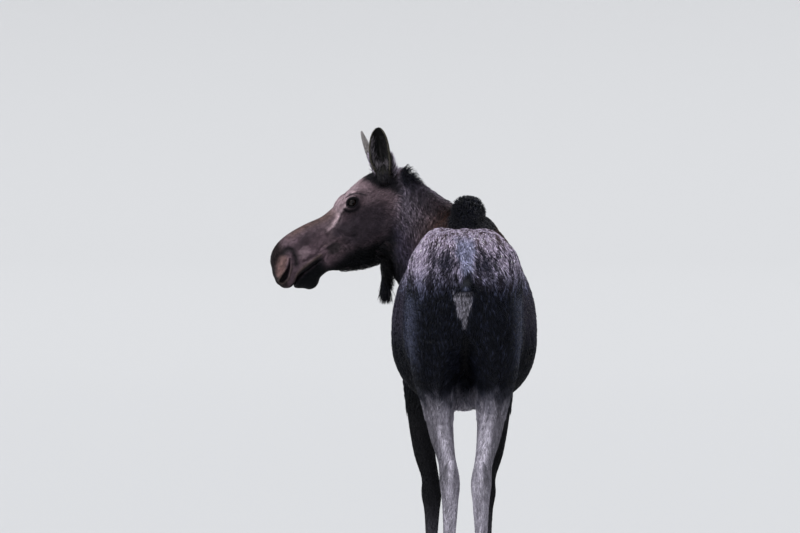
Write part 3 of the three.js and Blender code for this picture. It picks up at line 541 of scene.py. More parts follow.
def with_nostril(d, q):
    gap = nostril_gap(q[:, 0], q[:, 2])
    lateral = np.abs(q[:, 1])
    near = ramp(lateral, 14, 26)
    d = d - 3.4 * near * bump(gap, 4.5, 3.4)
    deep = NOSTRIL_LATERAL - 30 - lateral
    return smooth_cut(d, np.maximum(gap, deep), 4)


def with_face(d, q):
    """Adds the face's folds, lids, lips and nostrils to the head's field."""
    t, h = q[:, 0], q[:, 2]
    off_middle = ramp(np.abs(q[:, 1]), 6, 24)
    for points, stands_out, width in FACE_LINES:
        away, share = curve_distance(t, h, points)
        fade = np.sqrt(np.clip(np.sin(np.pi * np.clip(share, 0.02, 0.98)), 0, 1))
        d = d - stands_out * off_middle * fade * bump(away, 0, width)
    away, share = curve_distance(t, h, MOUTH)
    d = d + 8 * ramp(share, 0, 0.12) * bump(away, 0, 3.2)
    return with_nostril(with_eye(d, q), q)


# ---------- Muscles and folds of the body ----------
def body_relief(p):
    """How far the skin stands out of the plain masses."""
    x, y, z = p.T
    side = np.abs(x)
    cleft = bump(x, -2, 22) * ramp(y, -480, -600) * ramp(z, 1290, 1170)
    spine = bump(x, 0, 20) * ramp(z, 1470, 1530) * ramp(y, 50, -150)
    rump = ramp(y, -200, -420)
    corners = rump * (11 * bump(x, -168, 42) + 19 * bump(x, 140, 48)) * ramp(z, 1490, 1570)
    croup_sides = rump * bump(z, 1470, 45) * ramp(side, 150, 190)
    hump_foot = bump(x, 96, 32) * bump(z, 1642, 42) * bump(y, 400, 130)
    thigh = ramp(y, -480, -640) * ramp(z, 860, 1000) * ramp(z, 1400, 1300)
    muscles = thigh * (5 * bump(side, 82 - (z - 1100) * 0.05, 20) - 6 * bump(side, 128, 16))
    flank = bump(y, -190, 80) * bump(z, 1160, 130) * ramp(side, 150, 200)
    ribs = np.sin((y + 0.35 * (z - 1200)) / 17) * ramp(side, 190, 230)
    ribs = ribs * bump(y, 80, 190) * bump(z, 1260, 150)
    blade = ramp(side, 90, 130) * bump(z - 1330 + (y - 430) * 0.9, 0, 55) * bump(y, 400, 150)
    elbow = bump(y - 0.5 * (z - 1200), 300, 45) * bump(z, 1200, 160) * ramp(side, 120, 170)
    out = -15 * cleft + 7 * spine - corners + 6 * croup_sides + 14 * hump_foot + muscles
    return out - 12 * flank + 1.6 * ribs + 6 * blade - 8 * elbow


# ---------- The whole skin ----------
def bare_field(p):
    """The whole animal but her tail and bell, out to the tips of her short coat."""
    d = smooth_union(trunk(p), withers(p), 90)
    for hip in hips:
        d = smooth_union(d, hip(p), 70)
    d = smooth_union(d, udder(p), 60)
    d = smooth_union(d, neck_line(p), 80)
    for leg in legs:
        d = smooth_union(d, leg(p), 60)
    d = smooth_union(d, crest(p), 26)
    for point in hock_points:
        d = smooth_union(d, point(p), 24)
    return smooth_union(d, head_field(to_head(p)), 50)


BODY_COAT, LEG_COAT, FACE_COAT, THROAT_COAT = 10.5, 4.0, 2.6, 4


def coat_depth(p):
    """How far the skin lies under the coat's surface."""
    q = to_head(p)
    throat = bump(q[:, 2], -260, 60) * ramp(q[:, 0], 420, 150)
    depth = lerp(BODY_COAT, LEG_COAT, leg_share(p))
    return lerp(depth, FACE_COAT + THROAT_COAT * throat, head_share(p))


def rump_at(z):
    """The Y at which the rump's surface lies on the midline at a height."""
    y = -950.0
    while (d := bare_field(np.array([[0, y, z]]))[0]) > 0.5:
        y += max(d * 0.5, 0.5)
    return y


def tail_section(share, sunk, wide, thick):
    z = TAIL_TOP - TAIL_LENGTH * share
    return 0, rump_at(z) + sunk, z, wide, thick, thick


tail_limb = limb(
    [
        tail_section(0, 22, 30, 22),
        tail_section(0.2, 6, 30, 19),
        tail_section(0.5, 0, 25, 14),
        tail_section(0.8, -5, 15, 8),
        tail_section(0.95, -6, 6, 4),
    ]
)
bell_limb = limb(
    [
        (*BELL_TOP, 20, 32, 28),
        (BELL_TOP[0], BELL_TOP[1] - 4, BELL_TOP[2] - BELL_LENGTH * 0.28, 16, 22, 20),
        (BELL_TOP[0] + 1, BELL_TOP[1] - 6, BELL_TOP[2] - BELL_LENGTH * 0.52, 10, 14, 13),
    ]
)


NEAR_SKIN = 40  # the fine forms are worked out only this near the surface


def skin_field(p):
    """The skin's field, with the fine forms where its surface is near."""
    d = bare_field(p) + coat_depth(p)
    near = np.flatnonzero(np.abs(d) < NEAR_SKIN)
    if len(near):
        head = head_share(p[near])
        d[near] -= body_relief(p[near]) * (1 - head)
        q = to_head(p[near])
        on_face = (q[:, 0] > 30) & (head > 0.6)
        face = near[on_face]
        if len(face):
            d[face] = with_face(d[face], q[on_face])
    d = smooth_union(d, tail_limb(p), 10)
    d = smooth_union(d, bell_limb(p), 22)
    return np.maximum(d, CORONET_HEIGHT + 0.3 - p[:, 2])


# ---------- Meshing the skin ----------
BLOCK = 8  # grid points along a block's edge
CHUNK_POINTS, CHUNK_BLOCKS = 4096, 24
STEEPEST, SLACK = 1.7, 14  # how fast the field may change, and how far its fine forms reach
THREADS = 4

# Grid lines along each axis, as stretches of (from, to, spacing), finest round the face.
GRID = (
    [(-800, -512, 2.6), (-512, -426, 1.9), (-426, -250, 4), (-250, 320, 7)],
    [(-836, 700, 7), (700, 800, 4), (800, 872, 2), (872, 950, 3), (950, 1022, 2), (1022, 1080, 4)],
    [(66, 1200, 8), (1200, 1380, 5.5), (1380, 1705, 2.7), (1705, 1775, 2.0), (1775, 1960, 4)],
)


def marks(stretches):
    """One axis's grid lines, made up to a whole number of blocks."""
    lines = np.concatenate([np.arange(low, high, step) for low, high, step in stretches])
    last = stretches[-1][2]
    spare = (-len(lines)) % BLOCK
    return np.concatenate([lines, lines[-1] + last * np.arange(1, spare + 1)])


def in_threads(function, chunks):
    with ThreadPoolExecutor(THREADS) as pool:
        return list(pool.map(function, chunks))


def gridded(field, axes):
    """The field on a grid, worked out in full only in the blocks that its surface may cross."""
    blocks = [a.reshape(-1, BLOCK) for a in axes]
    count = [len(b) for b in blocks]
    middles = [b.mean(1) for b in blocks]
    spans = [(b[:, -1] - b[:, 0]) / 2 for b in blocks]
    centre = np.stack(np.meshgrid(*middles, indexing="ij"), -1).reshape(-1, 3)
    radius = np.linalg.norm(np.stack(np.meshgrid(*spans, indexing="ij"), -1), axis=-1).ravel()
    chunks = np.array_split(centre, max(1, len(centre) // CHUNK_POINTS))
    at_centre = np.concatenate(in_threads(field, chunks))
    near = np.flatnonzero(np.abs(at_centre) < radius * STEEPEST + SLACK)
    value = at_centre.reshape(count).astype(np.float32)
    for axis in range(3):
        value = np.repeat(value, BLOCK, axis)
    view = value.reshape(count[0], BLOCK, count[1], BLOCK, count[2], BLOCK)
    i, j, k = np.unravel_index(near, count)

    def fill(part):
        xs, ys, zs = blocks[0][i[part]], blocks[1][j[part]], blocks[2][k[part]]
        points = vectors(xs[:, :, None, None], ys[:, None, :, None], zs[:, None, None, :])
        found = field(points.reshape(-1, 3)).reshape(points.shape[:-1])
        view[i[part], :, j[part], :, k[part], :] = found

    in_threads(fill, np.array_split(np.arange(len(near)), max(1, len(near) // CHUNK_BLOCKS)))
    return value


def skin_surface():
    """The skin's vertices, in millimetres, and its quads."""
    axes = [marks(stretches) for stretches in GRID]
    grid = openvdb.FloatGrid(float(FAR))
    grid.copyFromArray(gridded(skin_field, axes))
    points, quads = grid.convertToQuads(isovalue=0.0)
    places = [np.interp(at, np.arange(len(lines)), lines) for at, lines in zip(points.T, axes)]
    return np.stack(places, 1), quads.astype(np.int64)


# ---------- Colours ----------
def srgb(r, g, b):
    """A linear colour from its 0 to 255 values on screen."""
    c = np.array([r, g, b]) / 255
    return np.where(c < 0.04045, c / 12.92, ((c + 0.055) / 1.055) ** 2.4)


BLACK = srgb(5, 8, 19)
BACK_GREY = srgb(44, 41, 52)
CROUP_DARK = srgb(38, 34, 45)
# painted sheen: the silver sky light that the croup's glossy hair reflects
SILVER_SHEEN = srgb(204, 190, 214)
SLATE = srgb(34, 34, 50)
# the spine's pale streak, partly pale hair and partly painted sheen, and a painted glint on the
# tail
SPINE_STREAK_AND_GLINT = srgb(152, 155, 186)
# painted sheen: blue sky light on the dark coat, along turning edges and in glints
SHEEN_BLUE = srgb(92, 96, 122)
LILAC = srgb(60, 54, 70)
CREST_GREY = srgb(100, 93, 106)
BELLY = srgb(18, 19, 18)
THROAT = srgb(24, 23, 32)
SHOULDER_BROWN = srgb(58, 35, 27)
BACK_BROWN = srgb(56, 40, 40)
PERINEUM = srgb(152, 148, 160)
PERINEUM_BAND = srgb(170, 166, 178)
LEG_TAUPE = srgb(224, 217, 232)
LEG_DARK = srgb(18, 17, 21)
HUMP_BLACK = srgb(11, 12, 19)
# painted glints on the hump's black hair
HUMP_GLINT_BLUE = srgb(34, 36, 52)
FACE = srgb(90, 75, 81)
# painted top light: the forehead's hair where it faces up, also used for paler temple patches
LIT_FOREHEAD = srgb(142, 121, 128)
CHEEK = srgb(50, 42, 49)
MUZZLE = srgb(102, 84, 92)
MUZZLE_END = srgb(24, 17, 16)
# painted shade in the hollows behind the nostril and ahead of the ridge
HOLLOW_SHADE = srgb(20, 17, 20)
NOSTRIL_WING = srgb(154, 122, 118)
# painted shade inside the nostril's opening
NOSTRIL_SHADE = srgb(12, 5, 9)
UPPER_LIP = srgb(84, 72, 66)
LIP = srgb(26, 24, 28)
# black hair, also used as painted shade in the cleft between the thighs and under the muzzle
BLACK_HAIR_AND_SHADE = srgb(6, 7, 11)
# the jaw's underside: dark hair with painted shade where it faces down
JAW_HAIR_AND_SHADE = srgb(8, 8, 11)
# painted highlight on the lit ridge, the brow and the pad behind the nostril
RIDGE_HIGHLIGHT = srgb(212, 188, 194)
# dark hair round the eye and ears, also used as painted shade under the lid, in creases and at the
# ear's base
DARK_HAIR_AND_SHADE = srgb(20, 18, 22)
LID_BAG = srgb(92, 78, 84)
EAR_BACK = srgb(56, 52, 42)
EAR_INSIDE = srgb(9, 9, 8)
EAR_PALE = srgb(160, 152, 160)
EAR_RIM = srgb(82, 78, 68)
FAR_EAR = srgb(128, 123, 122)
NAPE_PEPPER = srgb(172, 162, 178)
BRIDGE_BROWN = srgb(96, 75, 67)
EYE_DARK = srgb(22, 16, 15)
IRIS = srgb(28, 17, 12)
PUPIL = srgb(4, 4, 6)
LASH = srgb(12, 11, 13)
HORN = srgb(40, 35, 33)
HORN_PALE = srgb(78, 68, 60)
HORN_SOLE = srgb(60, 54, 50)


def noise(p, cell, seed):
    """Smooth noise from 0 to 1, with one random value to each corner of a lattice of cells."""
    q = np.asarray(p) / cell + 1000
    base = np.floor(q).astype(np.int64)
    f = q - base
    f = f * f * (3 - 2 * f)
    total = np.zeros(len(q))
    for corner in range(8):
        step = np.array([corner & 1, corner >> 1 & 1, corner >> 2 & 1])
        i, j, k = (base + step).T
        mixed = (i * 73856093 ^ j * 19349663 ^ k * 83492791 ^ seed * 2654435761) & 0xFFFFFFFF
        mixed = (mixed ^ mixed >> 15) * 2246822519 & 0xFFFFFFFF
        mixed = (mixed ^ mixed >> 13) & 0xFFFF
        total += mixed / 65535 * np.where(step, f, 1 - f).prod(1)
    return total


def over(colour, paint, share):
    """Mixes as the eye sees it: halfway looks half as bright."""
    share = np.clip(share, 0, 1)[:, None]
    return lerp(np.sqrt(colour), np.sqrt(paint), share) ** 2


def layered(colour, layers):
    """Lays paints over a colour in turn; a layer is a paint and its share at each place."""
    for layer, share in layers:
        colour = over(colour, layer, share)
    return colour


def neck_height(p):
    """-1 at the throat, 1 at the crest of the neck."""
    axis = np.interp(p[:, 1], [430, 600, 745, 855, 950], [1330, 1410, 1498, 1584, 1690])
    return (p[:, 2] - axis) / 230


def in_wedge(p, heights, middles, halves):
    """How far inside a wedge on the back of the rump, from its middles and half widths."""
    x, y, z = p.T
    middle, half = np.interp(z, heights, middles), np.interp(z, heights, halves)
    inside = np.minimum(half - np.abs(x - middle), np.minimum(z - heights[0], heights[-1] - z))
    return np.where(y < -520, inside, -99.0)


def under_tail(p):
    return in_wedge(p, [1236, 1303, 1372, 1386], [-2, -9, -13, -13], [4, 25, 40, 38])


def on_tail(p):
    return in_wedge(p, [1384, 1392, 1462], [8, 8, 8], [30, 34, 4])


def croup_sheen(p, n):
    """How much painted sheen lies on the croup: 1 along its top where the coat faces up and back,
    fading down and forwards.
    """
    x, y, z = p.T
    wave = 36 * (noise(p, 60, 1) - 0.5) + 34 * (noise(p, 17, 2) - 0.5)
    facing = ramp(n[:, 2] + 0.6 * np.maximum(-n[:, 1], 0), -0.25, 0.45)
    low = 1332 - 24 * ramp(np.abs(x), 60, 180)
    return facing * ramp(z + wave, low, low + 165) * ramp(y + 2 * wave, 260, -180)


def strokes(p):
    """Light and dark clumps of hair over the back, drawn out along its lie: 0 to 1."""
    x, y, z = p.T
    along = z - y
    across = (x + 5) * np.exp(0.003 * (2050 - along)) + 24 * noise(p, 34, 33)
    return ramp(noise(vectors(across / 5, along / 17, 0), 1, 34), 0.25, 0.75)


def trunk_layers(p, wave):
    """The flanks, the belly, the back, the shoulders and the hump."""
    x, y, z = p.T
    barrel = ramp(y, -330, -180) * ramp(y, 480, 300)
    back = ramp(z, 1480, 1580) * ramp(y, -60, 180)
    hump = ramp(90 - np.abs(x - 34) + wave * 0.4, -8, 12) * ramp(z, 1590, 1640)
    return [
        (LILAC, 0.8 * barrel * ramp(z + wave, 1130, 1300)),
        (BELLY, barrel * ramp(z, 1060, 960)),
        (BACK_GREY, ramp(z + wave, 1420, 1520)),
        (BACK_BROWN, back * ramp(z, 1700, 1640)),
        (SHOULDER_BROWN, bump(y, 450, 190) * ramp(z + wave, 1330, 1450)),
        (HUMP_BLACK, hump * ramp(y, 60, 140) * ramp(y, 640, 520)),
    ]


def croup_layers(p, n, luck, wave):
    """Painted sheen in silver strokes on dark hair, a slate patch on each side, and the spine's
    pale streak, partly painted sheen.
    """
    x, y, z = p.T
    level = croup_sheen(p, n)
    patches = bump(x, -76, 42) * bump(z, 1497, 38) + bump(x, 70, 44) * bump(z, 1488, 42)
    patches = np.clip(patches, 0, 1) * (y < -480)
    right = ramp(x, 50, 150) * ramp(y, -300, -480)
    stroke = level * (1 - 0.8 * patches) * (1 - 0.35 * right) + 1.5 * (luck - 0.47)
    shine = ramp(stroke, 0.3, 1.2) * ramp(level, 0, 0.55) * (1 - 0.6 * patches)
    half = np.interp(z, [1440, 1550], [12, 34])
    streak = ramp(half - np.abs(x + 2 - (1550 - z) * 0.05), -14, 12)
    streak = streak * ramp(z, 1436, 1462) * ramp(z, 1610, 1560) * (y < -300)
    return [
        (over(CROUP_DARK, BACK_BROWN, ramp(z + wave, 1530, 1590)), ramp(level, 0.1, 0.8)),
        (SLATE, 0.85 * patches),
        # painted sheen: silver strokes where the croup faces up and back
        (over(SHEEN_BLUE, SILVER_SHEEN, ramp(z, 1370, 1510)), shine),
        # the spine's pale streak, partly pale hair and partly painted sheen
        (SPINE_STREAK_AND_GLINT * (0.55 + 0.75 * luck)[:, None], 0.85 * streak),
    ]


def thigh_layers(p, n, luck):
    """Painted glints on the thighs, and a painted blue sheen where they turn away from the back."""
    _, y, z = p.T
    rump = ramp(y, -200, -330)
    turned = 1 + n[:, 1]  # 0 where the coat faces straight back
    glint = ramp(luck, 0.62, 0.95) * rump * ramp(z, 1010, 1100)
    edge = rump * ramp(z, 1060, 1180) * ramp(z, 1400, 1340)
    return [
        # painted glints: some tufts on the thighs catch blue light
        (SHEEN_BLUE, 0.4 * glint * ramp(z, 1450, 1380)),
        (SHEEN_BLUE, 0.75 * edge * bump(turned, 0.9, 0.22) * (0.3 + 0.9 * luck)),
    ]


def tail_layers(p, luck):
    """The pale wedge under the tail with its border, the tail, a painted glint on the tail, and
    painted shade in the cleft between the thighs below.
    """
    x, y, z = p.T
    wedge = under_tail(p)
    ragged = 18 * (noise(p * [1, 1, 0.3], 8, 17) - 0.5)
    border = bump(z, 1372, 5) * (np.abs(x + 13) < 44) * (y < -560)
    cleft = bump(x, -2, 13) * ramp(z, 1240, 1190) * ramp(z, 1010, 1060)
    return [
        (PERINEUM * (0.2 + 1.25 * luck)[:, None], ramp(wedge + ragged, -4, 8)),
        (PERINEUM_BAND, 0.8 * ramp(wedge, -2, 3) * ramp(z, 1373, 1378)),
        (BLACK_HAIR_AND_SHADE, 0.85 * border),
        (BLACK, ramp(on_tail(p), -6, 4)),
        # painted glint of light on the tail
        (SPINE_STREAK_AND_GLINT, 0.5 * bump(x, -1, 12) * bump(z, 1404, 9) * (y < -560)),
        # painted shade in the cleft between the thighs
        (BLACK_HAIR_AND_SHADE, 0.8 * cleft * ramp(y, -480, -560)),
    ]


def body_paint(p, n, luck):
    wave = 26 * (noise(p, 60, 1) - 0.5)
    layers = trunk_layers(p, wave) + croup_layers(p, n, luck, wave)
    return layered(BLACK, layers + thigh_layers(p, n, luck) + tail_layers(p, luck))


def leg_paint(p, n):
    x, y, z = p.T
    streak = noise(p * [1, 1, 0.25], 14, 5)
    outside = ramp(n[:, 0] * np.sign(x), 0.3, 0.9) * ramp(z, 500, 700)
    hind = layered(LEG_TAUPE, [(LEG_DARK, 0.4 * streak), (LEG_DARK, 0.35 * outside)])
    fore = over(LEG_DARK, LEG_TAUPE, 0.4 * ramp(z, 600, 250))
    return layered(fore, [(hind, ramp(y, -100, -300)), (LEG_DARK, 0.6 * ramp(z, 170, 90))])


def neck_paint(p):
    height = neck_height(p) + 0.22 * (noise(p, 45, 9) - 0.5)
    across = p @ np.array([[1, 0.8, 0], [0.8, -1, 0.5], [0, 0.5, 1.0]])
    streaks = noise(across * [1, 1, 0.35], 9, 4)
    colour = layered(LILAC, [
        (CREST_GREY, ramp(height, 0.15, 0.75)),
        (THROAT, ramp(-height, 0.1, 0.65)),
        (SHOULDER_BROWN, bump(p[:, 1], 550, 165) * ramp(height, -0.2, 0.35)),
    ])
    return colour * lerp(0.5, 1.45, ramp(streaks, 0.2, 0.8))[:, None]


def spot(q, t, h, radius_t, radius_h=None):
    """1 near a place in the head's side view, fading out at its edge."""
    away = np.hypot((q[:, 0] - t) / radius_t, (q[:, 2] - h) / (radius_h or radius_t))
    return ramp(away, 1.15, 0.55)


def face_layers(q, brow, wave, beside):
    """The forehead, painted lighter with a painted highlight where it faces up, the bridge, the
    cheeks, painted shade in the hollow ahead of the ridge, the jaw, dark hair with painted shade
    under it, and the throat.
    """
    t, h = q[:, 0], q[:, 2]
    jaw_top = lerp(158, 120, ramp(t, 220, 380))
    on_bridge = ramp(brow, 0.35, 0.85) * ramp(t, 270, 340) * ramp(t, 560, 470)
    return [
        (MUZZLE, ramp(t + wave, 380, 460)),
        # painted top light where the forehead faces up
        (LIT_FOREHEAD, ramp(brow, 0.2, 0.75) * ramp(t + wave, 310, 190)),
        # painted highlight where the brow faces up
        (RIDGE_HIGHLIGHT, 0.5 * ramp(brow, 0.5, 0.9) * ramp(t, 380, 260)),
        (BRIDGE_BROWN, 0.6 * on_bridge),
        (LIT_FOREHEAD, 0.55 * beside * spot(q, 150, 24, 46, 30)),
        (LIT_FOREHEAD, 0.5 * beside * spot(q, 147, -24, 52, 36)),
        # painted shade in the hollow ahead of the ridge
        (HOLLOW_SHADE, 0.35 * beside * spot(q, 470, 6, 60, 26)),
        (CHEEK, 0.9 * spot(q, 240, -98, 128, 82)),
        (CHEEK, 0.8 * beside * spot(q, 334, -44, 42, 30)),
        # the jaw's lower edge: dark hair, partly painted shade
        (JAW_HAIR_AND_SHADE, ramp(-h + wave, jaw_top, jaw_top + 48) * ramp(t, 520, 430)),
        # painted shade under the muzzle's end where it faces down
        (JAW_HAIR_AND_SHADE, ramp(-brow, 0.35, 0.85) * ramp(t, 600, 560)),
        (THROAT, 0.75 * ramp(-h, 110, 200) * ramp(t, 260, 120)),
    ]


def muzzle_layers(q, wave, beside):
    """Painted shade in the hollow behind the nostril, the lips, the chin, partly dark hair and
    partly painted shade, the nose's end, and painted highlights on the pad behind the nostril and
    along the lit ridge.
    """
    t, h = q[:, 0], q[:, 2]
    ridge, along = curve_distance(t, h, RIDGE_LINE)
    lit = ramp(along, 1.0, 0.6) * bump(ridge, 0, lerp(9, 18, along))
    return [
        # painted shade in the hollow behind the nostril
        (HOLLOW_SHADE, 0.85 * beside * near_line(t, h, HOLLOW, 12)),
        # painted highlight on the pad behind the nostril
        (RIDGE_HIGHLIGHT, 0.25 * beside * spot(q, 511, -26, 34, 26)),
        (UPPER_LIP, 0.8 * near_line(t, h, LIP_ROLL, 7)),
        (BELLY * 2.2, 0.5 * beside * spot(q, 400, -92, 34, 26)),
        # the chin, partly dark hair and partly painted shade under the muzzle
        (BLACK_HAIR_AND_SHADE, ramp(t, 440, 500) * ramp(-h + wave * 0.4, 96, 108)),
        (LIP, near_line(t, h, MOUTH, 8) * ramp(t, 450, 475)),
        (MUZZLE_END, 0.9 * ramp(t + 0.6 * h, 572, 618)),
        # painted highlight along the lit ridge
        (RIDGE_HIGHLIGHT, 0.8 * beside * lit),
    ]


def eye_layers(q, wave, beside):
    """The eye's dark surround, the bag under it, painted shadow in the crescent under the lower
    lid, painted shade in its crease, and painted shade at the ear's base and in the fold behind it.
    """
    t, h = q[:, 0], q[:, 2]
    opening, above = eye_opening(t, h)
    near_eye = ramp(np.abs(q[:, 1]), 30, 45)
    under = ramp(-above, -2, 8)
    # painted shadow under the lower lid
    crescent = bump(opening, 20, 6) * under * ramp(t, 200, 225) * ramp(t, 292, 276)
    from_ear, _ = curve_distance(t, h, EAR_BASE)
    return [
        (LID_BAG, 0.7 * near_eye * under * bump(opening, 12.5, 3.5)),
        (DARK_HAIR_AND_SHADE, near_eye * ramp(opening + wave * 0.15, lerp(12, 10, under), 6)),
        (DARK_HAIR_AND_SHADE, 0.9 * near_eye * crescent),
        # painted shade in the eye's crease
        (DARK_HAIR_AND_SHADE, 0.75 * beside * near_line(t, h, EYE_CREASE, 3.5)),
        # painted shade at the ear's base and in the fold behind it
        (DARK_HAIR_AND_SHADE, 0.97 * ramp(from_ear + wave, 50, 26)),
        (DARK_HAIR_AND_SHADE, 0.85 * near_line(t, h, EAR_FOLD, 7)),
    ]


def nostril_layers(q, gap, wave, beside):
    """The nostril's wing and the rim under its opening."""
    from_wing, _ = curve_distance(q[:, 0], q[:, 2], WING_EDGE)
    return [
        (NOSTRIL_WING, 0.8 * beside * ramp(from_wing + wave * 0.6, 26, 6)),
        (UPPER_LIP, 0.7 * beside * bump(gap, 5, 4) * ramp(-q[:, 2], 20, 50)),
    ]


def head_paint(p, n):
    q = to_head(p)
    wave = 14 * (noise(p, 28, 6) - 0.5)
    beside = ramp(np.abs(q[:, 1]), 18, 34)
    gap = nostril_gap(q[:, 0], q[:, 2])
    layers = face_layers(q, n @ TO_BROW, wave, beside) + muzzle_layers(q, wave, beside)
    layers += eye_layers(q, wave, beside) + nostril_layers(q, gap, wave, beside)
    mottle = lerp(0.6, 1.5, noise(p, 9, 8)) * lerp(0.8, 1.25, noise(p, 22, 12))
    colour = layered(FACE, layers) * mottle[:, None]
    # painted shade inside the nostril's opening
    return over(colour, NOSTRIL_SHADE, beside * ramp(gap, 2.0, -1.5))


def paint(p, n, luck=0.35):
    """The coat's colour on the body; luck sets which tufts catch the light, from 0 to 1."""
    luck = 0.5 * luck + 0.5 * strokes(p)
    high = ramp(p[:, 2] + 80 * (noise(p, 30, 3) - 0.5), 1060, 900)
    behind = ramp(p[:, 1], -300, -420)
    return layered(body_paint(p, n, luck), [
        (leg_paint(p, n), np.maximum(leg_share(p), high * behind)),
        (neck_paint(p), neck_share(p)),
        (head_paint(p, n), head_share(p)),
    ])


def contrast(p):
    """How much neighbouring tufts differ in brightness."""
    _, y, z = p.T
    croup = ramp(z, 1300, 1410) * ramp(y, 150, -120)
    return 0.2 + 0.16 * croup + 0.2 * neck_share(p) * (1 - head_share(p)) + 0.12 * leg_share(p)


# ---------- The lie of the coat ----------
def lie_of(p, n):
    """The way that the hair runs, along the skin."""
    x, y, z = p.T
    head, neck, leg = head_share(p), neck_share(p), leg_share(p)
    side = np.abs(n[:, 0])
    way = vectors(0, -1, -0.25 - 0.5 * side)
    fan = ramp(z, 1200, 1400) * ramp(y, -100, -300)
    way[:, 0] += 0.6 * fan * np.clip((x + 5) / 200, -1, 1)
    behind = ramp(-n[:, 1], 0.25, 0.75) * ramp(y, -300, -420)
    way = lerp(way, vectors(way[:, 0], -0.25, -1), behind[:, None])
    low = ramp(z, 1330, 900)
    way = lerp(way, vectors(0.1 * np.sign(x), -0.25, -1), low[:, None])
    way = lerp(way, np.array([0.0, -0.05, -1.0]), leg[:, None])
    way = lerp(way, vectors(0.42, -0.72, -0.5 - 0.6 * side), neck[:, None])
    q = to_head(p)
    cheek = ramp(-q[:, 2], 0, 120)
    back = -TO_NOSE - TO_BROW * (0.15 + 0.45 * cheek)[:, None]
    way = lerp(way, back, head[:, None])
    straight = ramp(np.maximum(under_tail(p), on_tail(p)), -14, 4)
    way = lerp(way, np.array([0.0, -0.1, -1.0]), straight[:, None])
    calm = (1 - straight) * (1 - 0.5 * head)
    aside = np.cross(n, unit(way))
    swirl = (noise(p, 55, 21) - 0.5) * 0.8 + (noise(p, 16, 22) - 0.5) * 0.6
    way = unit(way) + (swirl * calm)[:, None] * aside
    return flattened(way, n)


# ---------- Meshes ----------
COLOUR_LAYER = "Coat"


def build_mesh(name, vertices, faces):
    """A smooth mesh; faces is a list of arrays of triangles or quads."""
    mesh = bpy.data.meshes.new(name)
    mesh.vertices.add(len(vertices))
    mesh.vertices.foreach_set("co", to_frame(vertices).astype(np.float32).ravel())
    corners = np.concatenate([f.ravel() for f in faces]).astype(np.int32)
    sizes = np.concatenate([np.full(len(f), f.shape[1]) for f in faces])
    mesh.loops.add(len(corners))
    mesh.loops.foreach_set("vertex_index", corners)
    mesh.polygons.add(len(sizes))
    mesh.polygons.foreach_set("loop_start", (np.cumsum(sizes) - sizes).astype(np.int32))
    mesh.polygons.foreach_set("use_smooth", np.ones(len(sizes), bool))
    mesh.update(calc_edges=True)
    mesh.validate()
    return mesh


def set_colours(mesh, colours):
    values = np.ones((len(mesh.vertices), 4), np.float32)
    values[:, :3] = np.clip(colours, 0, 1)
    layer = mesh.color_attributes.new(COLOUR_LAYER, "FLOAT_COLOR", "POINT")
    layer.data.foreach_set("color", values.ravel())


def ring_quads(grid):
    """Quads between the rows of a grid of vertex numbers, whose rows are closed rings."""
    a, b = grid[:-1], grid[1:]
    return np.stack([a, np.roll(a, -1, 1), np.roll(b, -1, 1), b], -1).reshape(-1, 4)


def end_fans(grid, first_middle, last_middle):
    """Triangles that close the first and last ring, each round a vertex in its middle."""
    first, last = grid[0], grid[-1]
    return np.vstack([
        vectors(first_middle, np.roll(first, -1), first),
        vectors(last_middle, last, np.roll(last, -1)),
    ])


def facing_out(vertices, faces):
    """The arrays of faces, turned round if the first of them faces inwards."""
    p = vertices - vertices.mean(0)
    a, b, c = (p[faces[0][:, corner]] for corner in range(3))
    return [f[:, ::-1] for f in faces] if dot(a, np.cross(b, c)).sum() < 0 else faces


def placed(name, data):
    """An object for the data, put into the scene."""
    obj = bpy.data.objects.new(name, data)
    bpy.context.scene.collection.objects.link(obj)
    return obj


def piece(name, mesh, material, nodes=()):
    """An object of the model: it rides on the one body and stands for the named nodes."""
    mesh.materials.append(material)
    obj = placed(name, mesh)
    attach(obj, "root")
    if nodes:
        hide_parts(*nodes)


# ---------- Materials ----------
def new_material(name):
    material = bpy.data.materials.new(name)
    material.use_nodes = True
    nodes, links = material.node_tree.nodes, material.node_tree.links
    return material, nodes, links, nodes["Principled BSDF"]


def set_inputs(node, values):
    for name, value in values.items():
        node.inputs[name].default_value = value


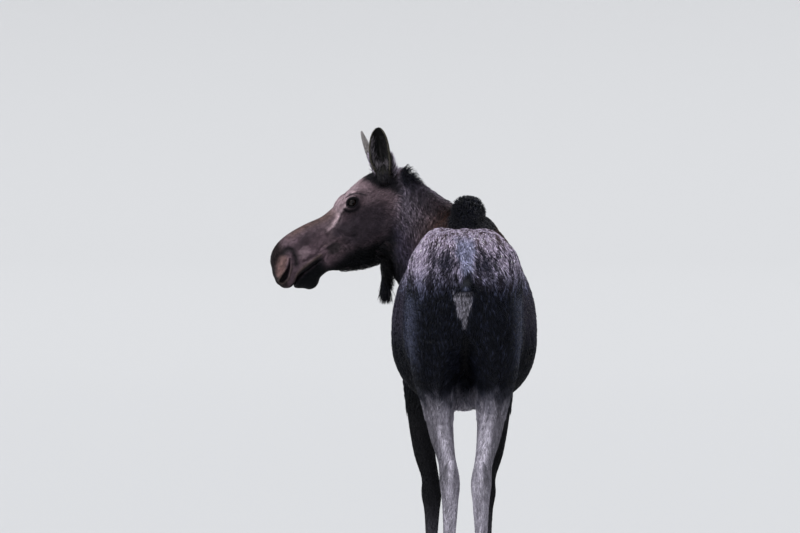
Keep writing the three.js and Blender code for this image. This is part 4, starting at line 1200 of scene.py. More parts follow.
def painted(name, roughness, gloss, sheen, grain, grain_depth, stretch=(1, 1, 1)):
    """A coat or horn whose colour comes from the mesh, with fine grain in its colour and bump."""
    material, nodes, links, shader = new_material(name)
    set_inputs(shader, {
        "Roughness": roughness,
        "Sheen Weight": sheen,
        "Sheen Roughness": 0.4,
        "Sheen Tint": (0.72, 0.78, 1.0, 1.0),
        "Specular IOR Level": gloss,
    })
    colour = nodes.new("ShaderNodeAttribute")
    colour.attribute_name = COLOUR_LAYER
    place = nodes.new("ShaderNodeTexCoord")
    mapping = nodes.new("ShaderNodeMapping")
    set_inputs(mapping, {"Scale": stretch})
    fine = nodes.new("ShaderNodeTexNoise")
    set_inputs(fine, {"Scale": grain, "Detail": 3})
    vary = nodes.new("ShaderNodeMapRange")
    set_inputs(vary, {"From Min": 0.3, "From Max": 0.7, "To Min": 0.72, "To Max": 1.25})
    mixed = nodes.new("ShaderNodeVectorMath")
    mixed.operation = "SCALE"
    bumps = nodes.new("ShaderNodeBump")
    set_inputs(bumps, {"Strength": 0.6, "Distance": grain_depth})
    for output, socket in (
        (place.outputs["Object"], mapping.inputs["Vector"]),
        (mapping.outputs["Vector"], fine.inputs["Vector"]),
        (fine.outputs["Fac"], vary.inputs["Value"]),
        (colour.outputs["Color"], mixed.inputs[0]),
        (vary.outputs["Result"], mixed.inputs["Scale"]),
        (mixed.outputs["Vector"], shader.inputs["Base Color"]),
        (fine.outputs["Fac"], bumps.inputs["Height"]),
        (bumps.outputs["Normal"], shader.inputs["Normal"]),
    ):
        links.new(output, socket)
    return material


skin_material = painted("skin_coat", 0.6, 0.15, 0.02, 420, 0.0012)
coat_material = painted("coat_hair", 0.42, 0.16, 0.02, 900, 0.0003)
long_hair_material = painted("long_hair", 0.4, 0.2, 0.02, 900, 0.0003)
ear_material = painted("ear_coat", 0.65, 0.1, 0.02, 380, 0.001)
horn_material = painted("hoof_horn", 0.38, 0.4, 0.0, 60, 0.0012, stretch=(1, 1, 9))
eye_material = painted("eye_wet", 0.08, 0.22, 0.0, 500, 0.0)
eye_shader = eye_material.node_tree.nodes["Principled BSDF"]
set_inputs(eye_shader, {"Coat Weight": 0.25, "Coat Roughness": 0.02})


# ---------- The skin piece ----------
FLESH = ["torso", "neck", "head", "tail", "bell"] + [
    f"{end}_{part}_leg_{SIDE_NAME[side]}"
    for end in ("hind", "fore")
    for part in ("upper", "lower")
    for side in SIDES
]
SKIN_TRIANGLES = 290000
UNDER_COAT = 0.62  # how much darker the skin is than the body's coat on it


def make_skin():
    """The skin's mesh, thinned where it is flat."""
    vertices, quads = skin_surface()
    faces = facing_out(vertices, [quads])
    dense = placed("skin_dense", build_mesh("skin_dense", vertices, faces))
    thin = dense.modifiers.new("thin", "DECIMATE")
    thin.ratio = min(1.0, SKIN_TRIANGLES / (2 * len(quads)))
    graph = bpy.context.evaluated_depsgraph_get()
    mesh = bpy.data.meshes.new_from_object(dense.evaluated_get(graph))
    mesh.name = "skin"
    bpy.data.objects.remove(dense)
    mesh.polygons.foreach_set("use_smooth", np.ones(len(mesh.polygons), bool))
    return mesh


def arrays_of(mesh):
    """A mesh's vertices in millimetres, its normals and its triangles."""
    count = len(mesh.vertices)
    places, normals = np.zeros(count * 3, np.float32), np.zeros(count * 3, np.float32)
    mesh.vertices.foreach_get("co", places)
    mesh.vertices.foreach_get("normal", normals)
    mesh.calc_loop_triangles()
    triangles = np.zeros(len(mesh.loop_triangles) * 3, np.int32)
    mesh.loop_triangles.foreach_get("vertices", triangles)
    return (places.reshape(-1, 3) - SHIFT) * 1000, normals.reshape(-1, 3), triangles.reshape(-1, 3)


def drop_loose_faces(mesh):
    """Takes out faces that share edges with one other face at most, which thinning can leave."""
    shape = bmesh.new()
    shape.from_mesh(mesh)
    loose = [f for f in shape.faces if len({g for e in f.edges for g in e.link_faces}) <= 2]
    bmesh.ops.delete(shape, geom=loose, context="FACES")
    shape.to_mesh(mesh)
    shape.free()


skin_mesh = make_skin()
skin_points, skin_normals, skin_triangles = arrays_of(skin_mesh)
under_coat = lerp(UNDER_COAT, 1.0, np.maximum(head_share(skin_points), leg_share(skin_points)))
set_colours(skin_mesh, paint(skin_points, skin_normals) * under_coat[:, None])
drop_loose_faces(skin_mesh)
piece("skin", skin_mesh, skin_material, FLESH)


# ---------- Tufts ----------
corners = skin_points[skin_triangles]
triangle_middle = corners.mean(1)
edge_a, edge_b = corners[:, 1] - corners[:, 0], corners[:, 2] - corners[:, 0]
triangle_area = np.linalg.norm(np.cross(edge_a, edge_b), axis=1) / 2


def scatter(where, spacing):
    """Roots of tufts on the chosen triangles of the skin, about `spacing` apart, and normals."""
    total = np.cumsum(triangle_area * np.where(where, 1 / spacing**2, 0))
    count = int(total[-1])
    picks = (np.arange(count) + rng.random(count)) / count * total[-1]
    face = np.minimum(np.searchsorted(total, picks), len(total) - 1)
    a, b = rng.random((2, count))
    folded = a + b > 1
    a, b = np.where(folded, 1 - a, a), np.where(folded, 1 - b, b)
    weights = np.stack([1 - a - b, a, b], 1)[:, :, None]
    ends = skin_triangles[face]
    return (skin_points[ends] * weights).sum(1), unit((skin_normals[ends] * weights).sum(1))


TUFT_RINGS = {1: (0.0,), 2: (0.0, 0.5), 3: (0.0, 0.38, 0.74), 4: (0.0, 0.25, 0.52, 0.8)}


def grow(root, normal, lie, length, width, lift, sink=2.5, curve=0.0, sway=0.12, rings=3):
    """Closed tapered tufts: each leaves the skin, bends over along its lie and ends in a tip.
    Returns vertices (tufts, 3 * rings + 1, 3), one tuft's triangles, and the share along it."""
    count = len(root)
    length, width, lift = (np.broadcast_to(v, count).astype(float) for v in (length, width, lift))
    side = np.cross(normal, lie)
    bend = rng.normal(0, sway, count) * length
    shares = TUFT_RINGS[rings]
    vertices = np.zeros((count, 3 * rings + 1, 3))
    for ring, s in enumerate(shares + (1.0,)):
        height = (lift + sink) * (1 - (1 - s) ** 2) - sink - 0.25 * lift * s**3
        height = height - curve * (length * s) ** 2 / 2
        centre = root + lie * (length * s)[:, None] + normal * height[:, None]
        centre = centre + side * (bend * s * s)[:, None]
        if s == 1.0:
            vertices[:, -1] = centre
            break
        broad = width * (0.8 + 0.5 * s - 1.0 * s * s) / 2
        vertices[:, 3 * ring] = centre - side * broad[:, None]
        vertices[:, 3 * ring + 1] = centre + side * broad[:, None]
        vertices[:, 3 * ring + 2] = centre + normal * (0.75 * broad)[:, None]
    faces = [(0, 2, 1)]
    for ring in range(rings - 1):
        for i in range(3):
            a, b = 3 * ring + i, 3 * ring + (i + 1) % 3
            faces += [(a, b, b + 3), (a, b + 3, a + 3)]
    last = 3 * (rings - 1)
    faces += [(last + i, last + (i + 1) % 3, 3 * rings) for i in range(3)]
    share = np.repeat(shares, 3).tolist() + [1.0]
    return vertices, np.array(faces), np.array(share)


PATCH = 0.003  # how far one tuft's patch reaches across its coat's UV map
UV_MARGIN = 0.02
ROOT_TONE, TONE_RISE = 0.55, 0.7  # a tuft is darker at its root than at its tip


def coat_mesh(name, tufts, colours, places):
    """Joins tufts: colours are (tufts, 3) at mid length, places their roots' UV, 0 to 1."""
    vertices, faces, share = tufts
    count, size = vertices.shape[:2]
    triangles = (faces[None] + size * np.arange(count)[:, None, None]).reshape(-1, 3)
    mesh = build_mesh(name, vertices.reshape(-1, 3), [triangles])
    tone = ROOT_TONE + TONE_RISE * share
    shade = colours[:, None] * tone[None, :, None]
    set_colours(mesh, shade.reshape(-1, 3))
    low, high = places.min(0), places.max(0)
    spread = UV_MARGIN + (1 - 2 * UV_MARGIN) * (places - low) / np.maximum(high - low, 1e-6)
    across = np.resize([-0.5, 0.5, 0], size)
    across[-1] = 0
    patch = PATCH * np.stack([across, share - 0.5], 1)
    uv = (spread[:, None] + patch[None]).reshape(-1, 2)
    layer = mesh.uv_layers.new(name="OFBake")
    layer.data.foreach_set("uv", uv[triangles.ravel()].astype(np.float32).ravel())
    return mesh


def round_axis(p, centre, axis, across):
    """An unwrap like a label on a tin: the angle round an axis and the way along it."""
    axis, across = unit(axis), unit(across)
    away = p - np.asarray(centre, float)
    angle = np.arctan2(away @ np.cross(axis, across), away @ across)
    return np.stack([angle / (2 * math.pi), away @ axis / 1000], 1)


def from_pole(p, centre, pole, across):
    """An unwrap like a map round a pole: even steps out from it keep even steps on the map."""
    pole, across = unit(pole), unit(across)
    away = unit(p - np.asarray(centre, float))
    down = np.arccos(np.clip(away @ pole, -1, 1))
    angle = np.arctan2(away @ np.cross(pole, across), away @ across)
    return np.stack([down * np.cos(angle), down * np.sin(angle)], 1)


def mottled(root, normal, strength):
    """The tufts' own colours: the skin's, each a little darker or paler."""
    vary = np.exp(rng.normal(0, 1, len(root)) * strength)
    return paint(root, normal, rng.random(len(root))) * vary[:, None]


TALLEST_MANE = 60


def mane_rise(p):
    """How far the mane's outline stands above a place on the skin."""
    return np.clip(-mane_outline(p), 0, TALLEST_MANE)


# ---------- The short coat ----------
is_face = head_share(triangle_middle) > 0.5
is_leg = leg_share(triangle_middle) > 0.5
# How far apart the tufts' roots are.
CROUP_SPACING, BARREL_SPACING, NECK_SPACING, BELLY_SPACING = 5.4, 6.9, 5.8, 7.6
FACE_SPACING, LEG_SPACING, MANE_SPACING, TAIL_SPACING, FRINGE_SPACING = 3.1, 4.8, 3.6, 2.9, 5.2


def body_spacing(p):
    wide = lerp(CROUP_SPACING, BARREL_SPACING, ramp(p[:, 1], -330, -120))
    wide = lerp(wide, NECK_SPACING, neck_share(p))
    return lerp(BELLY_SPACING, wide, ramp(p[:, 2], 940, 1080))


def coat_piece(name, tufts, colours, places, material=coat_material, slot="coat", own=slice(None)):
    mesh = coat_mesh(name, (tufts[0][own], *tufts[1:]), colours[own], places)
    piece(name, mesh, material)


def clear_of_openings(p):
    q = to_head(p)
    opening, _ = eye_opening(q[:, 0], q[:, 2])
    beside = np.abs(q[:, 1]) > 25
    return ~beside | ((opening > 1.5) & (nostril_gap(q[:, 0], q[:, 2]) > 0.5))


def make_body_coat():
    bare = is_face | is_leg | (on_tail(triangle_middle) > 0)
    root, normal = scatter(~bare, body_spacing(triangle_middle))
    neck, leg = neck_share(root), leg_share(root)
    rump = ramp(root[:, 1], -240, -480)
    patch = ramp(under_tail(root), -8, 2)
    size = rng.uniform(0.8, 1.2, len(root))
    shorter = lerp(1, 0.55, patch)
    length = lerp(lerp(38, 31, rump), 40, neck) * lerp(1, 0.62, leg) * shorter * size
    lift = lerp(lerp(8, 6.5, rump), 4, leg) * shorter * rng.uniform(0.6, 1.3, len(root))
    width = lerp(lerp(4.8, 4.3, rump), 3.7, np.maximum(neck, leg))
    width = width * rng.uniform(0.75, 1.25, len(root))
    lie = lie_of(root, normal)
    tufts = grow(root, normal, lie, length, width, lift, curve=lerp(1 / 330, 0, leg), rings=2)
    colours = mottled(root, normal, contrast(root))
    x, y, _ = root.T
    in_neck = ahead_of(root, *NECK_CUT) > 0
    ahead, behind = ~in_neck & (y > SHOULDER_CUT), ~in_neck & (y <= RUMP_CUT)
    unwraps = {
        "neck": (in_neck, round_axis, (-150, 780, 1540), (-0.45, 0.75, 0.45)),
        "shoulders": (ahead, round_axis, (0, 0, 1250), (0, 1, 0)),
        "barrel": (~in_neck & ~ahead & ~behind, round_axis, (0, 0, 1250), (0, 1, 0)),
        "rump": (behind, from_pole, (0, -350, 1250), (0, -1, 0)),
    }
    for part, (where, unwrap, centre, axis) in unwraps.items():
        for side in SIDES:
            own = where & (np.sign(x + 110 * in_neck) == side)
            across = (0, 0, 1) if part in ("neck", "rump") else (0, 0, -side)
            places = unwrap(root[own], centre, axis, across)
            coat_piece(f"coat_{part}_{SIDE_NAME[side]}", tufts, colours, places, own=own)


def make_leg_coat():
    root, normal = scatter(is_leg & ~is_face, LEG_SPACING)
    size = rng.uniform(0.75, 1.2, len(root))
    fringe = ramp(root[:, 2], 120, 88)
    length = lerp(19, 27, fringe) * size
    lie = lie_of(root, normal)
    tufts = grow(root, normal, lie, length, 2.9 * size, 2.6, sink=0.5, sway=0.08, rings=1)
    colours = mottled(root, normal, contrast(root))
    for end, where in (("hind", root[:, 1] < -120), ("fore", root[:, 1] >= -120)):
        for side in SIDES:
            own = where & (np.sign(root[:, 0]) == side)
            centre = root[own].mean(0)
            places = round_axis(root[own], centre, (0, 0, 1), (0, 1, 0))
            name = f"coat_{end}_leg_{SIDE_NAME[side]}"
            coat_piece(name, tufts, colours, places, slot="leg_coat", own=own)


def make_face_coat():
    root, normal = scatter(is_face & clear_of_openings(triangle_middle), FACE_SPACING)
    q = to_head(root)
    back = ramp(q[:, 0], 230, 30)
    below = ramp(-q[:, 2], 120, 230) * ramp(q[:, 0], 520, 420)
    longer = np.clip(back + below, 0, 1)
    size = rng.uniform(0.75, 1.25, len(root))
    length = lerp(8.5, 26, longer) * size
    lift = lerp(1.1, 4.5, longer) * size
    width = lerp(1.7, 3.2, longer)
    tufts = grow(root, normal, lie_of(root, normal), length, width, lift, sink=0.3, rings=1)
    colours = mottled(root, normal, 0.3 + 0.1 * longer)
    places = round_axis(root, from_head([300, 0, -80]), TO_NOSE, TO_BROW)
    coat_piece("coat_face", tufts, colours, places, slot="face_coat")


make_body_coat()
make_leg_coat()
make_face_coat()


# ---------- Long hair ----------
def long_piece(name, tufts, colours, root, centre, axis, across, slot="long_hair"):
    places = round_axis(root, centre, axis, across)
    coat_piece(name, tufts, colours, places, long_hair_material, slot)


def make_mane():
    """The upright hair of the hump, and the lower hair along the neck's crest up to the ears."""
    root, normal = scatter(mane_rise(triangle_middle) > 3, MANE_SPACING)
    rise = mane_rise(root)
    x, y, _ = root.T
    hump = ramp(y, 600, 480)
    nape = ramp(y, 790, 850)
    out = unit(normal + DOWN * lerp(-0.35, -0.1, hump)[:, None])
    backwards = unit(0.3 * normal + [0, -1, -0.35])
    lie = flattened(lerp(lie_of(root, normal), backwards, hump[:, None]), out)
    size = rng.uniform(0.8, 1.15, len(root))
    tall = ramp(rise, 4, 34)
    length = lerp(34, lerp(46, 58, hump), tall) * size
    spiky = rng.uniform(0.75, 1.6, len(root))
    low_neck = (1 - hump) * (1 - nape)
    lift = np.clip(rise * lerp(1, 0.4, low_neck) * spiky, 6.5, 52)
    tufts = grow(root, out, lie, length, 2.9, lift, sink=5, sway=0.08)
    # painted glints: a quarter of the hump's tufts catch blue light
    glint = 0.8 * (rng.random(len(root)) < 0.25)
    dark = over(HUMP_BLACK, HUMP_GLINT_BLUE, glint)
    share = ramp(rise + 14 * (noise(root, 30, 14) - 0.5), 3, 17)
    colours = over(mottled(root, normal, 0.3), dark, share * lerp(1, 0.3, low_neck))
    pepper = ramp(y, 850, 900) * ramp(x, -252, -270)
    colours = over(colours, NAPE_PEPPER, pepper * (rng.random(len(root)) < 0.6))
    long_piece("mane", tufts, colours, root, (0, 500, 1500), (-0.3, 1, 0.2), (0, 0, 1))


def make_bell():
    """Hair that hangs round the flap under the throat and ends in ragged points."""
    count = BELL_HAIRS
    share = rng.random(count) ** 0.85
    z = BELL_TOP[2] - lerp(16, BELL_LENGTH * 0.5, share)
    angle = rng.uniform(0, 2 * math.pi, count)
    normal = vectors(np.cos(angle), np.sin(angle), 0)
    middle = vectors(BELL_TOP[0] + share, BELL_TOP[1] - 2 - 4 * share, z)
    root = middle + normal * lerp(17, 7, share)[:, None]
    lie = unit(DOWN - normal * lerp(0.02, 0.1, share)[:, None] + rng.normal(0, 0.045, (count, 3)))
    lie = flattened(lie, normal)
    length = (z - (BELL_TOP[2] - BELL_LENGTH)) * rng.uniform(0.4, 0.97, count)
    tufts = grow(root, normal, lie, length, rng.uniform(2.2, 4.2, count), 3.5, sink=4, rings=4)
    colours = HUMP_BLACK * np.exp(rng.normal(0, 0.35, count))[:, None]
    long_piece("bell_hair", tufts, colours, root, middle.mean(0), (0, 0, 1), (0, 1, 0))


def make_tail():
    """Black hair over the short tail, lying straight down and ending ragged at its tip."""
    root, normal = scatter(on_tail(triangle_middle) > -1, TAIL_SPACING)
    lie = flattened(unit([0, -0.08, -1.0] + rng.normal(0, 0.05, root.shape)), normal)
    room = root[:, 2] - (TAIL_TOP - TAIL_LENGTH)
    length = np.maximum(np.minimum(room, 34) * rng.uniform(0.75, 1.1, len(root)), 7)
    tufts = grow(root, normal, lie, length, 2.8, 3.5, sink=2, curve=1 / 160, sway=0.05)
    colours = mottled(root, normal, 0.35)
    long_piece("tail_hair", tufts, colours, root, (0, -780, 1420), (0, 0, 1), (0, -1, 0))


def make_fringe():
    """Ragged hair under the jaw, longest at the throat round the bell."""
    q = to_head(triangle_middle)
    down = skin_normals[skin_triangles[:, 0]]
    jaw_line = (q[:, 2] < -175) & (q[:, 0] > 0) & (q[:, 0] < 430) & (down @ TO_BROW < -0.5)
    from_bell = np.linalg.norm(triangle_middle - BELL_TOP - np.array([45, 0, 20]), axis=1)
    throat_patch = (from_bell < 105) & (down[:, 2] < 0.1) & (triangle_middle[:, 2] > 1400)
    jaw_line &= head_share(triangle_middle) > 0.2
    root, normal = scatter(jaw_line | throat_patch, FRINGE_SPACING)
    t = to_head(root)[:, 0]
    throat = ramp(t, 230, 90)
    lie = unit(-TO_NOSE * 0.7 - TO_BROW * 0.9 + DOWN * lerp(0.2, 2.4, throat)[:, None])
    lie = unit(lie - normal * dot(lie, normal)[:, None] * lerp(0.8, 0.6, throat)[:, None])
    length = rng.uniform(0.5, 1.1, len(root)) * lerp(lerp(44, 18, ramp(t, 250, 400)), 62, throat)
    colours = over(mottled(root, normal, 0.4), HUMP_BLACK, 0.6 * throat)
    pale = rng.random(len(root)) < 0.1
    colours = over(colours, FACE, 0.7 * pale * (1 - throat))
    tufts = grow(root, normal, lie, length, 2.6, lerp(8, 14, throat), sink=3)
    long_piece("throat_fringe", tufts, colours, root, from_head([250, 0, -100]), TO_NOSE, TO_BROW)


make_mane()
make_bell()
make_tail()
make_fringe()


# ---------- Eyes ----------
def make_eye(side):
    """A ball with a bulging cornea, a brown iris and a level oval pupil."""
    rows, around = 40, 56
    polar = math.pi * np.linspace(0, 1, rows + 1)[1:-1] ** 1.15
    angle = 2 * math.pi * np.arange(around) / around
    out, up = np.sin(polar)[:, None], np.cos(polar)[:, None]
    rings = vectors(out * np.cos(angle), up, out * np.sin(angle)).reshape(-1, 3)
    local = np.vstack([[0, 1, 0], rings, [0, -1, 0]])
    off_axis = np.arccos(np.clip(local[:, 1], -1, 1))
    bulge = 1 + 0.045 * ramp(off_axis, 0.75, 0.35)
    tilt = EYE_OPENING["tilt"]
    long_way = local[:, 0] * math.cos(tilt) + local[:, 2] * math.sin(tilt)
    short_way = local[:, 2] * math.cos(tilt) - local[:, 0] * math.sin(tilt)
    pupil = ramp(np.hypot(long_way / 0.36, short_way / 0.22), 1.1, 0.85)
    iris = ramp(off_axis, 0.72, 0.62)
    grain = noise(vectors(np.arctan2(local[:, 2], local[:, 0]) * 9, off_axis * 3, 0), 1, 31)
    colours = layered(EYE_DARK, [(IRIS, iris * (0.6 + 0.4 * grain)), (PUPIL, pupil)])
    ball = local * bulge[:, None] * EYE_RADIUS * [1, -side, 1]
    vertices = ball @ HEAD_AXES.T + eye_centre(side)
    grid = 1 + np.arange((rows - 1) * around).reshape(rows - 1, around)
    faces = facing_out(vertices, [ring_quads(grid), end_fans(grid, 0, len(local) - 1)])
    node = f"eye_{SIDE_NAME[side]}"
    mesh = build_mesh(node + "_ball", vertices, faces)
    set_colours(mesh, colours)
    piece(node + "_ball", mesh, eye_material, [node])


def make_lashes():
    roots, lies = [], []
    for side in SIDES:
        for s in np.linspace(-0.8, 0.75, LASHES):
            ahead = s * EYE_OPENING["length"] + EYE_OPENING["ahead"]
            slope = ahead * math.tan(EYE_OPENING["tilt"])
            above = EYE_OPENING["height"] * (1 - s * s) + slope + 1.0
            depth = math.sqrt(max((EYE_RADIUS + 2.5) ** 2 - ahead**2 - above**2, 1))
            roots.append(from_head([EYE_T + ahead, -side * (EYE_LATERAL + depth), EYE_H + above]))
            lies.append(unit(-side * TO_LEFT * 0.9 - TO_BROW * 0.45 + TO_NOSE * s * 0.35))
    root, lie = np.array(roots), np.array(lies)
    normal = flattened(TO_BROW, lie)
    tufts = grow(root, normal, lie, rng.uniform(7, 11, len(root)), 0.8, -1.5, sink=0.5)
    colours = np.tile(LASH, (len(root), 1))
    long_piece("eyelashes", tufts, colours, root, POLL, TO_NOSE, TO_BROW, "face_coat")


for side in SIDES:
    make_eye(side)
make_lashes()


# ---------- Ears ----------
EARS = {
    LEFT: {
        "root": from_head([52, 34, -16]),
        "points": (-36, -88, 208),
        "faces": (-0.25, -0.95, -0.2),
        "rim": EAR_RIM,
        "back": EAR_BACK,
    },
    RIGHT: {
        "root": from_head([52, -34, -16]),
        "points": (-102, 62, 205),
        "faces": (-1, 0.2, -0.25),
        "rim": EAR_PALE,
        "back": FAR_EAR,
    },
}


def ear_frame(side):
    """The ear's root and its three directions: up along it, out of its cup, and across."""
    spec = EARS[side]
    up = unit(spec["points"])
    front = np.array(spec["faces"], float)
    front = unit(front - up * front.dot(up))
    return spec["root"], up, front, np.cross(up, front)


def ear_place(side, s, angle, inset):
    """A point of the ear's leaf: s along it, an angle round its back, and how far in."""
    root, up, front, across = ear_frame(side)
    half = EAR_WIDTH / 2 * (0.54 + 0.52 * ramp(s, 0, 0.42))
    taper = np.maximum(1 - np.maximum((s - 0.45) / 0.56, 0) ** 2.8, 0.0) ** 0.6
    wide = np.maximum(half * taper, 2.5)
    deep = lerp(34, 9, s) * taper
    inset = np.minimum(inset, deep * 0.6)
    back = np.cos(angle) * (deep - inset)
    sideways = np.sin(angle) * (wide - inset * 0.6) - 7 * np.sin(math.pi * s)
    out = deep * 0.4 - back - 14 * s * s
    parts = (s * EAR_LENGTH, up), (sideways, across), (out, front)
    return root + sum(np.multiply.outer(reach, way) for reach, way in parts)


def make_ear(side):
    """A cupped leaf, whose rings go round its back and return inside the cup."""
    rows, arc = 44, 18
    s = np.linspace(0, 1, rows)[:, None]
    wall = lerp(EAR_WALL, 2.2, s)
    outer = np.linspace(-1.75, 1.75, arc + 1)[None]
    inner = np.linspace(1.62, -1.62, arc + 1)[None]
    s_out, a_out = np.broadcast_arrays(s, outer)
    s_in, a_in = np.broadcast_arrays(s, inner)
    outside = ear_place(side, s_out, a_out, np.zeros_like(s_out))
    cup = ramp(s, 0.1, 0.32)[..., None]
    filled = ear_place(side, s_in, math.pi - a_in * 0.8, np.zeros_like(s_in))
    ribs = 1.3 * np.sin(a_in * 6) * ramp(s, 0.2, 0.4) * ramp(s, 0.95, 0.75)
    inside = ear_place(side, s_in, a_in, wall + ribs)
    inside = filled + (inside - filled) * cup
    size = 2 * (arc + 1)
    vertices = np.concatenate([outside, inside], 1).reshape(-1, 3)
    grid = np.arange(rows * size).reshape(rows, size)
    strip = np.arange(arc)
    caps = []
    for row, flip in ((0, 1), (rows - 1, -1)):
        ring = grid[row]
        left, right = ring[strip], ring[size - 1 - strip]
        cap = np.stack([left, right, ring[size - 2 - strip], ring[strip + 1]], 1)
        caps.append(cap[:, ::flip])
    along = np.concatenate([s_out, s_in], 1).ravel()
    round_ear = np.concatenate([np.abs(a_out), np.abs(a_in)], 1).ravel()
    is_inside = np.concatenate([s_out * 0, s_in * 0 + 1], 1).ravel() * ramp(along, 0.15, 0.3)
    grain = noise(vertices, 9, 41)
    stripes = ramp(np.cos(round_ear * 9) + grain - 0.5, 0.3, 0.9) * ramp(along, 0.8, 0.55)
    edge = ramp(round_ear, 1.35, 1.6) * ramp(along, 0.2, 0.35)
    colours = layered(EAR_BACK * lerp(0.75, 1.2, grain)[:, None], [
        (EAR_INSIDE, is_inside),
        (EAR_PALE, 0.2 * is_inside * stripes),
        (EARS[side]["rim"], 0.7 * edge),
        (DARK_HAIR_AND_SHADE, 0.5 * ramp(along, 0.35, 0.1)),
    ])
    node = f"ear_{SIDE_NAME[side]}"
    mesh = build_mesh(node + "_leaf", vertices, facing_out(vertices, [ring_quads(grid), *caps]))
    set_colours(mesh, colours)
    piece(node + "_leaf", mesh, ear_material, [node])


def ear_rows(side, count, s_range, angles, inset=0.0):
    """Roots on the ear: the share along it, the angle, the place, and the ways along and round."""
    s = rng.uniform(*s_range, count)
    angle = rng.uniform(*angles, count) * rng.choice([-1, 1], count)
    inset = np.full(count, inset)
    at = ear_place(side, s, angle, inset)
    step = ear_place(side, np.minimum(s + 0.02, 1), angle, inset)
    beside = ear_place(side, s, angle + 0.05 * np.sign(angle), inset)
    return s, angle, at, unit(step - at), unit(beside - at)


def make_ear_hair(side):
    """Short hair on the back, a fringe along the rim, and hair in and round the ear's cup."""
    root, up, front, across = ear_frame(side)
    tufts, colours, roots = [], [], []

    def add(at, normal, lie, length, width, lift, colour, sink=1.5):
        lie = flattened(unit(lie + rng.normal(0, 0.1, lie.shape)), normal)
        tufts.append(grow(at, normal, lie, length, width, lift, sink=sink, rings=2))
        roots.append(at)
        colours.append(colour * np.exp(rng.normal(0, 0.3, len(at)))[:, None])

    s, angle, at, along, beside = ear_rows(side, 2600, (0.02, 0.99), (0, 1.6))
    normal = unit(np.cross(beside, along) * np.sign(angle)[:, None])
    normal = normal * np.sign(dot(normal, at - ear_place(side, s, angle, 6 + 0 * s)))[:, None]
    add(at, normal, along, lerp(20, 6, s), 2.6, 2.4, EARS[side]["back"])

    s, angle, at, along, _ = ear_rows(side, 620, (0.2, 0.98), (1.6, 1.74))
    inward = unit(np.outer(-np.sign(angle), across) + front * 0.25)
    facing = np.tile(front, (len(at), 1))
    add(at, facing, unit(inward * 0.5 + along * 1.1), lerp(20, 6, s), 1.9, 2.0, EARS[side]["rim"])

    s, angle, at, _, _ = ear_rows(side, 800, (0.14, 0.8), (0.4, 1.5), 6.0)
    inward = unit(np.outer(-np.sign(angle), across))
    pale = (rng.random(len(s)) < 0.5) * ((angle * side > 0.7) | (s < 0.34))
    shade = EAR_PALE * lerp(0.02, 0.55, pale)[:, None]
    lie = unit(inward * 0.6 + up * 1.2)
    add(at, unit(inward * 0.4 + front), lie, lerp(34, 18, s), 1.8, 4, shade)

    _, _, at, _, _ = ear_rows(side, 560, (-0.02, 0.16), (0, 3.1))
    upward = np.tile(up, (len(at), 1))
    length = rng.uniform(20, 34, len(at))
    add(at, unit(at - (root + up * 12)), upward, length, 3.2, 6, DARK_HAIR_AND_SHADE * 1.4, sink=4)

    s, angle, at, _, _ = ear_rows(side, 1500, (0.0, 0.5), (0.0, 1.4))
    normal = unit(at - (root + up * 12 + np.multiply.outer(s * EAR_LENGTH, up)))
    peppered = np.where(rng.random((len(at), 1)) < 0.6, NAPE_PEPPER, DARK_HAIR_AND_SHADE)
    fluff = (1 - s / 0.55) * (0.4 + 0.6 * (angle > 0)) * rng.uniform(0.6, 1.1, len(at))
    outward = unit(up + np.multiply.outer(0.9 * fluff, across))
    add(at, normal, outward, lerp(18, 66, fluff), 2.4, lerp(5, 20, fluff), peppered, sink=3)

    joined = (np.concatenate([t[0] for t in tufts]), *tufts[0][1:])
    name, places = f"ear_{SIDE_NAME[side]}_hair", np.concatenate(roots)
    long_piece(name, joined, np.concatenate(colours), places, root, up, front, "ear_coat")


for side in SIDES:
    make_ear(side)
    make_ear_hair(side)


# ---------- Hooves ----------
def claw_ring(x, y, z, half_width, ahead, behind, lean, around=36):
    angle = 2 * math.pi * np.arange(around) / around
    cos = np.cos(angle)
    dx = half_width * np.sin(angle)
    dy = np.where(cos > 0, ahead, behind) * np.sign(cos) * np.abs(cos) ** 0.9
    turn_cos, turn_sin = math.cos(-lean), math.sin(-lean)
    return vectors(x + dx * turn_cos - dy * turn_sin, y + dx * turn_sin + dy * turn_cos, z)


def loft(rings):
    """A closed skin over rings with the same number of points, with flat ends."""
    count, size = len(rings), len(rings[0])
    vertices = np.vstack(rings + [rings[0].mean(0)[None], rings[-1].mean(0)[None]])
    grid = np.arange(count * size).reshape(count, size)
    ends = end_fans(grid, count * size, count * size + 1)
    return vertices, facing_out(vertices, [ring_quads(grid), ends])


def horn_piece(name, rings, node):
    vertices, faces = loft(rings)
    mesh = build_mesh(name, vertices, faces)
    bands = 0.5 * noise(vertices * [1, 1, 4], 18, 51)
    sole = ramp(vertices[:, 2], 12, 0)
    set_colours(mesh, layered(HORN, [(HORN_PALE, bands), (HORN_SOLE, sole)]))
    piece(name, mesh, horn_material, [node])


def make_dewclaw(node, start, along):
    """A blunt cone that hangs behind the foot."""
    angle = 2 * math.pi * np.arange(20) / 20
    rings = []
    for s in np.linspace(0, 1, 11):
        taper = 1 - 0.1 * s * 2 if s < 0.5 else 0.9 - 0.75 * (2 * s - 1) ** 2
        r = DEWCLAW_WIDTH / 2 * max(taper, 0.12)
        circle = vectors(np.cos(angle) * r, np.sin(angle) * r * 0.8, 0)
        rings.append(start + along * DEWCLAW_LENGTH * s + circle)
    horn_piece(node + "_horn", rings, node)


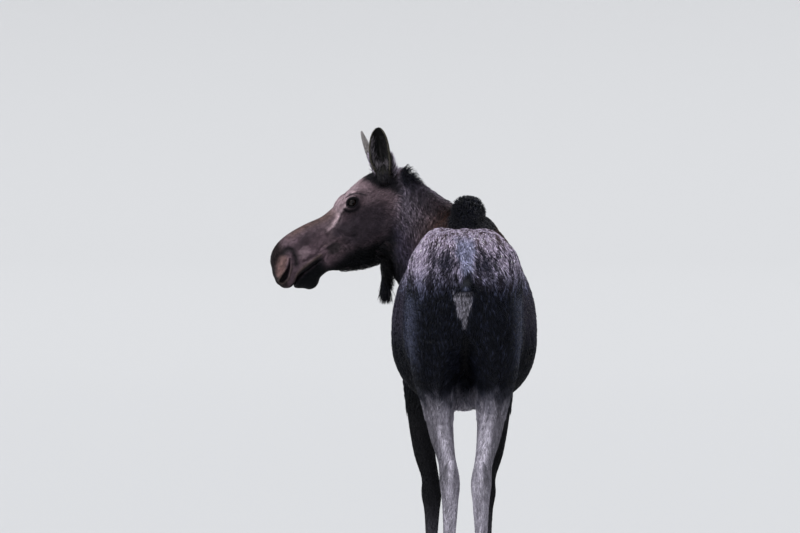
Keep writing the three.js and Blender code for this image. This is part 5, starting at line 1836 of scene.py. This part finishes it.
def make_foot(end, side):
    foot_x, foot_y = STANCE[end, side]
    foot_y += FOOT_Y[end]
    top, w = CORONET_HEIGHT - 0.2, CLAW_WIDTH / 2
    for half in SIDES:
        lean = half * CLAW_SPLAY
        x = foot_x + half * (w + 1.5)
        profile = catmull_rom(
            [
                (x, foot_y, top, w * 0.96, 47, 45, 0),
                (x + half, foot_y + 12, top * 0.45, w * 1.06, 58, 47, lean * 0.6),
                (x + half * 3, foot_y + 18, 8, w * 1.08, 70, 46, lean),
                (x + half * 3, foot_y + 18, 0, w * 1.02, 66, 43, lean),
            ],
            8,
        )
        rings = []
        for i, (cx, cy, cz, wide, ahead, behind, turn) in enumerate(profile):
            ridge = 1 + 0.008 * math.sin(i * 2.2)  # faint growth rings in the horn
            rings.append(claw_ring(cx, cy, max(cz, 0.0), wide * ridge, ahead * ridge, behind, turn))
        place = f"{end}_{SIDE_NAME[side]}_" + ("outer" if half == side else "inner")
        horn_piece(f"hoof_{place}_horn", rings, f"hoof_{place}")
        start = np.array([foot_x + half * 21, foot_y - 34, DEWCLAW_HEIGHT])
        make_dewclaw(f"dewclaw_{place}", start, unit([half * 0.12, -0.42, -0.9]))


for end in ("hind", "fore"):
    for side in SIDES:
        make_foot(end, side)


# ---------- Camera, floor and light ----------
CAMERA_AT = (-0.2508, -20.8, 1.476)  # in the animal's frame, in metres
LENS, SENSOR = 236.8, 36.0


def make_camera():
    camera = bpy.data.cameras.new("camera")
    camera.lens, camera.sensor_width = LENS, SENSOR
    camera.clip_end = 500
    obj = placed("camera", camera)
    obj.location = np.array(CAMERA_AT) + SHIFT
    obj.rotation_euler = (math.pi / 2, 0, 0)
    bpy.context.scene.camera = obj


def make_floor():
    around = 96
    angle = 2 * math.pi * np.arange(around) / around
    profile = (2, 0), (10, 0), (60, 0), (78, 1.5), (92, 8), (100, 22)  # radius, height in metres
    rings = [vectors(r * np.cos(angle), r * np.sin(angle), z) * 1000 for r, z in profile]
    vertices, faces = loft(rings)
    mesh = build_mesh("floor", vertices - SHIFT * 1000, [faces[0], faces[1][:around]])
    material, _, _, shader = new_material("pale_floor")
    set_inputs(shader, {"Base Color": (0.52, 0.52, 0.52, 1), "Roughness": 0.9})
    mesh.materials.append(material)
    placed("floor", mesh)


def make_light():
    world = bpy.data.worlds.new("studio")
    bpy.context.scene.world = world
    world.use_nodes = True
    background = world.node_tree.nodes["Background"]
    set_inputs(background, {"Color": (0.82, 0.88, 1.0, 1), "Strength": 0.42})
    for name, energy, angle, aim in (
        ("key", 2.9, 0.9, (math.radians(24), math.radians(-18), 0)),
        ("rim", 0.9, 0.7, (math.radians(-38), math.radians(28), 0)),
    ):
        sun = bpy.data.lights.new(name, "SUN")
        sun.energy, sun.angle = energy, angle
        placed(name, sun).rotation_euler = aim


make_camera()
make_floor()
make_light()
bpy.context.scene.view_settings.view_transform = "Standard"
